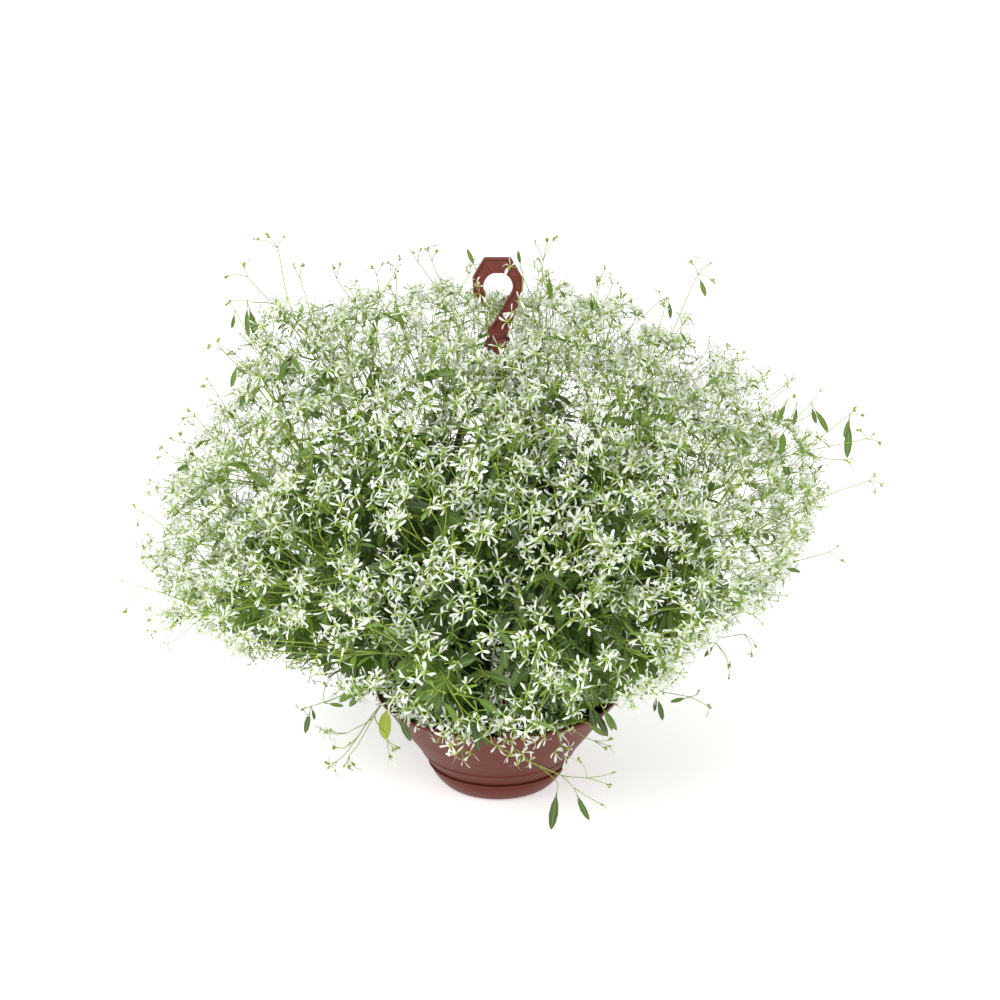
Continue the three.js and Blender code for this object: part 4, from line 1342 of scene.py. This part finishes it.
def scatter_tips(count, draw):
    """Flower clusters spread over the mound, most of them near its surface."""
    tips = []
    for i in range(count):
        azimuth = i * GOLDEN_ANGLE + draw.uniform(-0.06, 0.06)
        tilt = even_tilt(i, count, azimuth, draw)
        depth = SHALLOWEST_CLUSTER + CLUSTER_LAYER * draw.random() ** 1.7
        place = pulled_in(tilt, azimuth, mound_reach(tilt, azimuth) - depth, draw.gauss(9, 5))
        if place is None:
            continue
        low_middle = abs(place[0]) < LOW_MIDDLE_WIDTH and place[2] < LOW_MIDDLE_TOP
        if not low_middle or draw.random() >= LOW_MIDDLE_THINNING:
            tips.append(Tip(place))
    return tips


def scatter_fringe(count, draw):
    """More clusters low over the rim, between the pot and the mound's outer edge."""
    tips = []
    for i in range(count):
        azimuth = i * GOLDEN_ANGLE
        if abs(azimuth % (2 * math.pi) - 1.5 * math.pi) < 0.6 and draw.random() < 0.5:
            continue
        tilt = lowest_tilt(azimuth) + math.radians(draw.uniform(-4, 9))
        reach = mound_reach(tilt, azimuth) * draw.uniform(0.4, 0.95)
        place = pulled_in(tilt, azimuth, reach, draw.gauss(8, 4))
        if place is not None and math.hypot(place[0], place[1]) > 0.95 * RIM_RADIUS:
            tips.append(Tip(place, 0.8))
    return tips


def scatter_skirt(count, draw):
    """Leafy clusters just above the soil, out to the rim."""
    tips = []
    for i in range(count):
        radius = RIM_RADIUS * draw.uniform(0.62, 1.03)
        place = polar(radius, i * GOLDEN_ANGLE, RIM_HEIGHT + draw.uniform(0, 40) * MM)
        if fits(place, 0):
            tips.append(Tip(place, 0.7, leafy=True))
    return tips


def scatter_outliers(count, draw):
    """Thin sprays of buds that stand out of the mound all round."""
    tips = []
    for i in range(count):
        azimuth = i * GOLDEN_ANGLE
        tilt = even_tilt(i, count, azimuth, draw)
        reach = mound_reach(tilt, azimuth) * draw.uniform(0.98, 1.05)
        place = pulled_in(tilt, azimuth, reach, draw.uniform(-18, -6))
        if place is not None and in_limits(place, 14 * MM):
            tips.append(Tip(place, 0.35))
    return tips


def scatter_cover(draw):
    """Clusters close in front of the hanger's arms, which they hide."""
    tips = []
    top = HUB_HEIGHT - 10 * MM
    for node, count in ARM_COVER.items():
        azimuth = arm_azimuth(node)
        out = polar(1, azimuth, 0)
        across = polar(1, azimuth + math.pi / 2, 0)
        for share in np.linspace(0.03, 0.95, count):
            radius = HUB_RADIUS + share * (RIM_RADIUS - HUB_RADIUS)
            line = out * radius + UP * (top - share * (top - RIM_HEIGHT))
            way = unit(out + [0, -1.2 * draw.random(), 0.3])
            place = line + way * draw.uniform(15, 34) * MM + across * draw.uniform(-12, 12) * MM
            if fits(place, 0):
                tips.append(Tip(place, leafy=draw.random() < 0.4))
    for _ in range(HUB_COVER):
        place = point(draw.uniform(-34, 34), draw.uniform(-48, -14), draw.uniform(382, 432))
        if fits(place, 0):
            tips.append(Tip(place))
    return tips


def scatter_cloud(draw, window, depths, count, leafy):
    """Clusters seen in a window of the photograph, between two depths in millimetres."""
    tips = []
    for _ in range(count):
        x = draw.uniform(window[0], window[2])
        y = draw.uniform(window[1], window[3])
        place = from_picture(x, y, draw.uniform(*depths) * MM)
        if fits(place, 4):
            tips.append(Tip(place, 0.4 if leafy else 0.8, None, leafy))
    return tips


def in_limits(place, room):
    """Whether a place is inside the box that the finished plant may fill."""
    low = np.array(CAD_BOX[0])
    high = np.array(CAD_BOX[1])
    margin = BOX_MARGIN * (high - low) + BOX_ROOM - room
    return bool(np.all(place > low - margin) and np.all(place < high + margin))


def spray_tip(spray):
    return Tip(from_picture(*spray.fork, spray.depth * MM), spray=spray)


def bezier(start, first, second, end, count, until=1.0):
    t = np.linspace(0, until, count)[:, None]
    s = 1 - t
    return s ** 3 * start + 3 * s * s * t * first + 3 * s * t * t * second + t ** 3 * end


class Growth:
    """What one shoot or sprig has grown: rods by their number of steps and sides, and thin parts."""

    def __init__(self, draw, settings):
        self.draw = draw
        self.settings = settings
        self.rods = {}
        self.leaves = []
        self.bracts = []
        self.buds = []

    def add_rod(self, line, start_radius, end_radius, sides):
        radii = np.linspace(start_radius, end_radius, len(line))
        self.rods.setdefault((len(line), sides), []).append((line, radii))

    def clear_curve(self, start, first, second, end, count, until=1.0):
        """A curved line, bent aside where it would run into the hanger."""
        line = bezier(start, first, second, end, count, until)
        for attempt in range(6):
            if hanger_gap(line).min() > HANGER_ROOM:
                break
            push = (5 + 4 * attempt) * MM
            aside = random_unit(self.draw) * push
            line = bezier(start, first + aside, second + aside, end, count, until)
        return line

    def add_leaf(self, foot, direction, length, width, tone=None):
        """A leaf, if it stays in the plant's outline and clear of the pot and the hanger."""
        draw = self.draw
        along = unit(direction)
        reach = foot + along * length * np.array([[0.5], [1.0]])
        tip = reach[1]
        if hanger_gap(reach).min() < HANGER_ROOM or not in_limits(tip, 0.5 * MM):
            return
        if in_window(tip, EYE_WINDOW) or not within_outline(tip, 5):
            return
        if tip[2] < RIM_HEIGHT + 3 * MM and np.hypot(*tip[:2]) < RIM_RADIUS + 4 * MM:
            return
        face = UP + 0.8 * random_unit(draw)
        curl = draw.uniform(0.0, 0.9)
        # A random tone per leaf, skewed dark: partly each leaf's own tone, partly painted shade on the inner
        # leaves, while the leaves at the clusters get light tones.
        shade = draw.random() ** 1.8 if tone is None else tone
        self.leaves.append((foot, along, face, length, width, curl, draw.uniform(0.15, 0.55), shade))

    def add_bud(self, middle, axis, radius):
        self.buds.append((middle, axis, radius, radius * self.draw.uniform(1.05, 1.4), self.draw.random()))

    def add_head(self, middle, facing, bracts):
        """One flower: a small green cup, with narrow bracts that bend every way round it."""
        draw = self.draw
        settings = self.settings
        first = random_across(draw, facing)
        second = np.cross(facing, first)
        self.add_bud(middle, facing, 1.0 * MM)
        turn = draw.uniform(0, 2 * math.pi)
        for i in range(bracts):
            angle = turn + 2 * math.pi * i / bracts + draw.gauss(0, 0.45)
            rise = draw.uniform(-0.4, 1.2)
            away = math.cos(angle) * first + math.sin(angle) * second
            direction = math.cos(rise) * away + math.sin(rise) * facing
            length = settings.bract_length * draw.uniform(0.7, 1.15)
            width = settings.bract_width * draw.uniform(0.7, 1.15)
            face = unit(facing + 0.9 * random_unit(draw))
            curl = draw.uniform(-1.1, 2.2)
            foot = middle + direction * 0.6 * MM
            fold = draw.uniform(0.1, 0.5)
            self.bracts.append((foot, direction, face, length, width, curl, fold, draw.random()))

    def add_stalk(self, start, heading, end):
        """A thin stalk from a fork, and the way it points at its end."""
        direction = unit(end - start)
        bend = start + heading * 0.3 * np.linalg.norm(end - start)
        steps = 2 if np.linalg.norm(end - start) < 9 * MM else 3
        line = bezier(start, bend, end - direction * 2 * MM, end, steps)
        self.add_rod(line, STALK_RADIUS, STALK_END, 3)
        return direction

    def add_cluster(self, middle, heading, fullness):
        """A cluster: short stalks spread from one fork to flowers and buds, with narrow leaves below."""
        draw = self.draw
        count = draw.choice([3, 4, 5, 6]) if fullness > 0.5 else draw.choice([2, 3])
        turn = draw.uniform(0, 2 * math.pi)
        first = random_across(draw, heading)
        second = np.cross(heading, first)
        for i in range(count):
            angle = turn + 2 * math.pi * i / count + draw.uniform(-0.4, 0.4)
            away = math.cos(angle) * first + math.sin(angle) * second
            way = unit(heading * draw.uniform(0.2, 1.0) + away * draw.uniform(0.5, 1.0))
            tip = middle + way * draw.uniform(5, 12) * MM
            direction = self.add_stalk(middle, heading, tip)
            if draw.random() < fullness * 0.8:
                facing = unit(direction + 0.5 * UP + 0.5 * random_unit(draw))
                self.add_head(tip, facing, draw.choice([4, 5, 5, 6, 7]))
            else:
                self.add_bud(tip, direction, draw.uniform(0.8, 1.3) * MM)
        for _ in range(draw.choice([0, 1, 1, 2])):
            tip = middle + unit(heading + 0.9 * random_unit(draw)) * draw.uniform(4, 10) * MM
            direction = self.add_stalk(middle, heading, tip)
            self.add_bud(tip, direction, draw.uniform(0.8, 1.2) * MM)
        for side in (1, -1):
            if draw.random() < 0.62:
                direction = heading * 0.5 + side * first - 0.4 * UP
                length = draw.uniform(10, 19) * MM
                self.add_leaf(middle, direction, length, draw.uniform(2.2, 3.8) * MM, draw.uniform(0.6, 1.0))

    def add_spray(self, tip, heading):
        """A spray seen in the photograph, with its buds, leaves and flowers where it shows them."""
        draw = self.draw
        spray = tip.spray
        depth = spray.depth * MM
        for pixel in spray.buds:
            end = from_picture(*pixel, depth + draw.uniform(-5, 5) * MM)
            direction = self.add_stalk(tip.place, heading, end)
            for _ in range(draw.choice([1, 2, 2])):
                near = end + random_unit(draw) * 2 * MM
                self.add_stalk(end - direction * 3 * MM, direction, near)
                self.add_bud(near, direction, draw.uniform(1.1, 1.6) * MM)
            if draw.random() < 0.6 and in_limits(end, 13 * MM):
                self.add_head(end, unit(direction + random_unit(draw) * 0.4), draw.choice([2, 3]))
        for pixel in spray.flowers:
            end = from_picture(*pixel, depth + draw.uniform(0, 6) * MM)
            direction = self.add_stalk(tip.place, heading, end)
            facing = unit(direction + np.array([0, -0.9, 0.5]) + 0.3 * random_unit(draw))
            self.add_head(end, facing, draw.choice([4, 5, 6]))
            self.add_bud(end + random_unit(draw) * 2 * MM, facing, 1.2 * MM)
        for pixel in spray.leaves:
            end = from_picture(*pixel, depth + draw.uniform(-3, 3) * MM)
            foot = tip.place + 0.2 * (end - tip.place)
            self.add_rod(np.linspace(tip.place, foot, 2), TWIG_RADIUS, TWIG_END, 3)
            length = np.linalg.norm(end - foot)
            width = (0.18 * length + 1.2 * MM) * spray.widening
            face = unit(np.array([draw.uniform(-0.6, 0.6), -1.0, 0.5]))
            fold = draw.uniform(0.2, 0.5)
            # Painted shade: leaves that end below the rim, under the mound, get the darkest tones.
            tone = draw.uniform(0.0, 0.3) if end[2] < RIM_HEIGHT else draw.uniform(0.3, 1.0)
            self.leaves.append((foot, unit(end - foot), face, length, width, 0.12, fold, tone))

    def add_leaf_pair(self, place, direction, clusters):
        """Two leaves across from each other. Those far in along a shoot are the largest, and near
        the mound's surface there are few."""
        draw = self.draw
        settings = self.settings
        if draw.random() > max(LEAST_LEAFY, leafiness(place)):
            return
        size = min(1.05, 0.55 + 0.14 * math.sqrt(clusters))
        slim = min(1.1, 0.42 + 0.18 * math.sqrt(clusters))
        side = random_across(draw, direction)
        for sign in (1, -1):
            way = 0.5 * direction + sign * side - UP * draw.uniform(0.0, 0.8)
            length = settings.leaf_length * size * draw.uniform(0.75, 1.15)
            width = settings.leaf_width * slim * draw.uniform(0.75, 1.15)
            self.add_leaf(place + sign * side * 0.4 * MM, way, length, width)

    def add_side_leaves(self):
        """Short leafy twigs along the thicker stems, which fill the inside of the mound."""
        draw = self.draw
        for (steps, sides), rods in sorted(self.rods.items(), key=lambda item: item[0]):
            if sides < 4:
                continue
            for line, radii in list(rods):
                length = np.linalg.norm(np.diff(line, axis=0), axis=1).sum()
                for _ in range(int(length / SIDE_TWIG_SPACING + draw.random())):
                    share = draw.uniform(0.1, 0.95) * (steps - 1)
                    k = int(share)
                    place = line[k] + (share - k) * (line[k + 1] - line[k])
                    direction = unit(line[k + 1] - line[k])
                    if place[2] < SOIL_TOP + 25 * MM or draw.random() > leafiness(place):
                        continue
                    way = unit(0.6 * direction + random_across(draw, direction))
                    end = place + way * draw.uniform(8, 26) * MM
                    if hanger_gap(end)[0] < 4 * MM:
                        continue
                    twig = bezier(place, place + way * 3 * MM, end - way * MM, end, 3)
                    self.add_rod(twig, TWIG_RADIUS, TWIG_END, 3)
                    self.add_leaf_pair(end, way, draw.choice([2, 4, 6]))
                    if draw.random() < 0.5:
                        self.add_leaf_pair(0.5 * (place + end), way, 4)

    def grow(self, start, heading, tips, early=False):
        """A twig towards the middle of its tips, forked until each of them has a twig. Early: it forks
        at once, just above the soil."""
        draw = self.draw
        places = np.array([tip.place for tip in tips])
        middle = places.mean(axis=0)
        distance = np.linalg.norm(middle - start)
        outward = unit(middle - RIM_MIDDLE)
        arrival = unit((middle - start) / distance + 0.5 * outward + 0.25 * random_unit(draw))
        first = start + heading * 0.4 * distance
        second = middle - arrival * 0.35 * distance
        thickness = rod_radius(len(tips))
        if len(tips) == 1:
            steps = 5 if distance > 20 * MM else 3
            line = self.clear_curve(start, first, second, middle, steps)
            self.add_rod(line, thickness, STALK_RADIUS, 3)
            if tips[0].spray:
                self.add_spray(tips[0], arrival)
            else:
                self.add_cluster(middle, arrival, tips[0].fullness)
            if tips[0].leafy:
                for k in (1, 2, 3):
                    self.add_leaf_pair(line[-k], unit(line[-1] - line[-2]), 5)
            return
        spread = math.sqrt(((places - middle) ** 2).sum(axis=1).mean())
        share = float(np.clip(1 - 2.4 * spread / distance, 0.16, 0.62)) * draw.uniform(0.85, 1.15)
        if early:
            share = draw.uniform(0.06, 0.14)
        groups = split(tips, places, draw)
        steps = 4 if share * distance < 25 * MM else 8
        line = self.clear_curve(start, first, second, middle, steps, share)
        direction = unit(line[-1] - line[-2])
        thinner = rod_radius(max(len(group) for group in groups))
        self.add_rod(line, thickness, thinner, 6 if len(tips) > 8 else 4)
        if not early:
            self.add_leaf_pair(line[-1], direction, len(tips))
        for group in groups:
            toward = unit(np.mean([tip.place for tip in group], axis=0) - line[-1])
            self.grow(line[-1], unit(0.6 * direction + 0.75 * toward), group)

    def add_to_scene(self, name, leaf_node, flower_node):
        """Makes the shoot's objects: stems, leaves, bracts and buds."""
        stems, leaves, bracts, buds = (Shape() for _ in range(4))
        for (steps, sides), rods in sorted(self.rods.items(), key=lambda item: item[0]):
            lines = [line for line, radii in rods]
            radii = [radii for line, radii in rods]
            tone = [min(1.0, (r[0] - 0.4 * MM) / (1.1 * MM)) for r in radii]
            add_tubes(stems, lines, radii, sides, np.array(tone))
        add_blades(leaves, self.leaves, LEAF_STATIONS, LEAF_OUTLINE)
        add_blades(bracts, self.bracts, BRACT_STATIONS, BRACT_OUTLINE, midrib=False)
        add_balls(buds, self.buds, 5, 1)
        for part, shape, finish, slot, node in (
            ("stems", stems, "stem_surface", "foliage", leaf_node),
            ("leaves", leaves, "leaf_surface", "foliage", leaf_node),
            ("bracts", bracts, "bract_surface", "bracts", flower_node),
            ("buds", buds, "bud_surface", "foliage", flower_node),
        ):
            if shape.count:
                shape.add_to_scene(f"{name}_{part}", [bpy.data.materials[finish]], slot, [node])


def rod_radius(clusters):
    """How thick a twig is that carries so many clusters."""
    return ROD_BASE + ROD_GROWTH * math.sqrt(clusters)


def split(tips, places, draw):
    """Two groups of tips, parted across the way they spread the most."""
    centred = places - places.mean(axis=0)
    axis = np.linalg.svd(centred, full_matrices=False)[2][0]
    axis = axis if axis[np.argmax(np.abs(axis))] > 0 else -axis
    order = np.argsort(centred @ axis)
    cut = int(np.clip(round(len(order) * draw.uniform(0.35, 0.65)), 1, len(order) - 1))
    return [tips[i] for i in order[:cut]], [tips[i] for i in order[cut:]]


def foot_of(node, low_end=True):
    """The middle of a stem's foot in the frame: its lowest points, or those nearest the axis."""
    points = points_of(node)
    measure = points[:, 2] if low_end else np.hypot(points[:, 0], points[:, 1])
    return points[measure < measure.min() + 0.5 * MM].mean(axis=0)


def middle_of(node):
    low, high = corners_of(node)
    return (low + high) / 2


class EUPHORBIA_OT_shoots(bpy.types.Operator):
    """Grows the shoots with their forked twigs, leaves, flowers and buds."""

    bl_idname = "euphorbia.grow_shoots"
    bl_label = "Grow shoots"

    def execute(self, context):
        settings = context.scene.euphorbia_plant
        draw = random.Random(SEED)
        count = settings.clusters
        tips = scatter_tips(count, draw) + scatter_fringe(count // 7, draw)
        tips += scatter_skirt(count // 6, draw) + scatter_outliers(count // 10, draw) + scatter_cover(draw)
        for cloud in CLOUDS:
            tips += scatter_cloud(draw, *cloud)
        tips += [spray_tip(spray) for spray in LONE_SPRAYS]
        middles = np.array([middle_of(f"flower_spray_{i + 1:02d}") for i in range(SHOOTS)])
        owners = [int(np.argmin(((middles - tip.place) ** 2).sum(axis=1))) for tip in tips]
        stem_finish(settings.stem_colour, settings.stem_old)
        leaf_finish("leaf_surface", settings.leaf_colour, settings.leaf_dark, settings.leaf_vein)
        bract_finish(settings.bract_colour, settings.bract_foot)
        bud_finish(settings.bud_colour)
        for i in range(SHOOTS):
            mine = [tip for tip, owner in zip(tips, owners) if owner == i]
            if not mine:
                raise RuntimeError(f"shoot {i + 1} has no flower clusters")
            number = f"{i + 1:02d}"
            growth = Growth(draw, settings)
            growth.grow(foot_of(f"leafy_stem_{number}"), UP, mine, early=True)
            growth.add_side_leaves()
            growth.add_to_scene(f"shoot_{number}", f"leafy_stem_{number}", f"flower_spray_{number}")
        return {"FINISHED"}


class EUPHORBIA_OT_sprigs(bpy.types.Operator):
    """Grows the low sprigs that hang over the rim."""

    bl_idname = "euphorbia.grow_sprigs"
    bl_label = "Grow low sprigs"

    def execute(self, context):
        settings = context.scene.euphorbia_plant
        draw = random.Random(SEED + 1)
        for name, sprays in SPRIG_SPRAYS.items():
            node = f"low_sprig_{name}"
            foot = foot_of(node, low_end=False)
            azimuth = math.atan2(foot[1], foot[0])
            over_rim = polar(RIM_RADIUS + 2 * MM, azimuth, RIM_HEIGHT + 15 * MM)
            rise = foot + 30 * MM * UP
            line = bezier(foot, rise, polar(75 * MM, azimuth, over_rim[2] + 4 * MM), over_rim, 12)
            growth = Growth(draw, settings)
            growth.add_rod(line, 1.0 * MM, 0.8 * MM, 6)
            for k in (5, 8, 11):
                growth.add_leaf_pair(line[k], unit(line[k] - line[k - 1]), 6)
            heading = unit(line[-1] - line[-2])
            growth.grow(over_rim, heading, [spray_tip(spray) for spray in sprays])
            growth.add_to_scene(f"sprig_{name}", node, node)
        return {"FINISHED"}


class EUPHORBIA_OT_old_leaf(bpy.types.Operator):
    """Makes the one yellowed leaf that hangs at the left of the rim."""

    bl_idname = "euphorbia.make_old_leaf"
    bl_label = "Make old leaf"

    def execute(self, context):
        settings = context.scene.euphorbia_plant
        depth = -middle_of("old_leaf")[1]
        foot = from_picture(*OLD_LEAF_FOOT, depth)
        tip = from_picture(*OLD_LEAF_TIP, depth)
        length = np.linalg.norm(tip - foot)
        blade = (foot, unit(tip - foot), np.array([-0.5, -1.0, 0.3]), length, 0.4 * length, 0.35, 0.25, 0.8)
        shape = Shape()
        add_blades(shape, [blade], LEAF_STATIONS, LEAF_OUTLINE)
        stalk = np.linspace(foot - (tip - foot) * 0.08, foot, 3)
        add_tubes(shape, [stalk], [[TWIG_RADIUS] * 3], 4, np.array([0.8]))
        base = settings.old_leaf_colour
        vein = tuple(1.15 * channel for channel in base)
        finish = leaf_finish("old_leaf_surface", base, settings.leaf_colour, vein)
        shape.add_to_scene("yellowed_leaf", [finish], "yellowed_leaf", ["old_leaf"])
        return {"FINISHED"}


# Stage

def aim(thing, target):
    direction = Vector(target) - thing.location
    thing.rotation_euler = direction.to_track_quat("-Z", "Y").to_euler()


def add_lamp(name, place, power, size):
    light = bpy.data.lights.new(name, "AREA")
    light.energy = power
    light.size = size
    lamp = bpy.data.objects.new(name, light)
    lamp.location = place
    bpy.context.scene.collection.objects.link(lamp)
    aim(lamp, LAMP_TARGET)


class EUPHORBIA_OT_stage(bpy.types.Operator):
    """Makes the pale floor, the soft studio light and the camera at the photograph's angle."""

    bl_idname = "euphorbia.make_stage"
    bl_label = "Make stage"

    def execute(self, context):
        settings = context.scene.euphorbia_stage
        scene = context.scene
        floor = bpy.data.meshes.new("studio_floor")
        signs = [(-1, -1), (1, -1), (1, 1), (-1, 1)]
        corners = [(x * FLOOR_HALF, y * FLOOR_HALF, 0) for x, y in signs]
        floor.from_pydata(corners, [], [(0, 1, 2, 3)])
        floor.materials.append(floor_finish(settings.floor_colour))
        ground = bpy.data.objects.new("studio_floor", floor)
        scene.collection.objects.link(ground)
        world = bpy.data.worlds.new("studio")
        world.use_nodes = True
        background = world.node_tree.nodes["Background"]
        background.inputs["Color"].default_value = (1.0, 1.0, 1.0, 1.0)
        background.inputs["Strength"].default_value = settings.sky_strength
        scene.world = world
        add_lamp("key_lamp", KEY_PLACE, settings.key_power, KEY_SIZE)
        add_lamp("fill_lamp", FILL_PLACE, settings.fill_power, FILL_SIZE)
        camera_data = bpy.data.cameras.new("camera")
        camera_data.lens = LENS_LENGTH
        camera_data.sensor_width = SENSOR_WIDTH
        camera = bpy.data.objects.new("camera", camera_data)
        camera.location = view_frame()[0]
        scene.collection.objects.link(camera)
        aim(camera, VIEW_TARGET)
        scene.camera = camera
        scene.view_settings.view_transform = "Standard"
        return {"FINISHED"}


# Add-on

class EUPHORBIA_PT_panel(bpy.types.Panel):
    """Lists the steps that build the potted euphorbia."""

    bl_idname = "EUPHORBIA_PT_panel"
    bl_label = "Potted euphorbia"
    bl_space_type = "VIEW_3D"
    bl_region_type = "UI"
    bl_category = "Euphorbia"

    def draw(self, context):
        for step in STEPS:
            self.layout.operator(step.bl_idname)


SETTINGS = {
    "euphorbia_pot": PotSettings,
    "euphorbia_plant": PlantSettings,
    "euphorbia_stage": StageSettings,
}
STEPS = [
    EUPHORBIA_OT_stage,
    EUPHORBIA_OT_pot,
    EUPHORBIA_OT_saucer,
    EUPHORBIA_OT_soil,
    EUPHORBIA_OT_hook,
    EUPHORBIA_OT_arms,
    EUPHORBIA_OT_shoots,
    EUPHORBIA_OT_sprigs,
    EUPHORBIA_OT_old_leaf,
]


def register():
    for item in [*SETTINGS.values(), *STEPS, EUPHORBIA_PT_panel]:
        bpy.utils.register_class(item)
    for name, group in SETTINGS.items():
        setattr(bpy.types.Scene, name, bpy.props.PointerProperty(type=group))


def unregister():
    for name in SETTINGS:
        delattr(bpy.types.Scene, name)
    for item in [EUPHORBIA_PT_panel, *reversed(STEPS), *SETTINGS.values()]:
        bpy.utils.unregister_class(item)


def main():
    register()
    for step in STEPS:
        family, name = step.bl_idname.split(".")
        getattr(getattr(bpy.ops, family), name)()


if __name__ == "__main__":
    main()
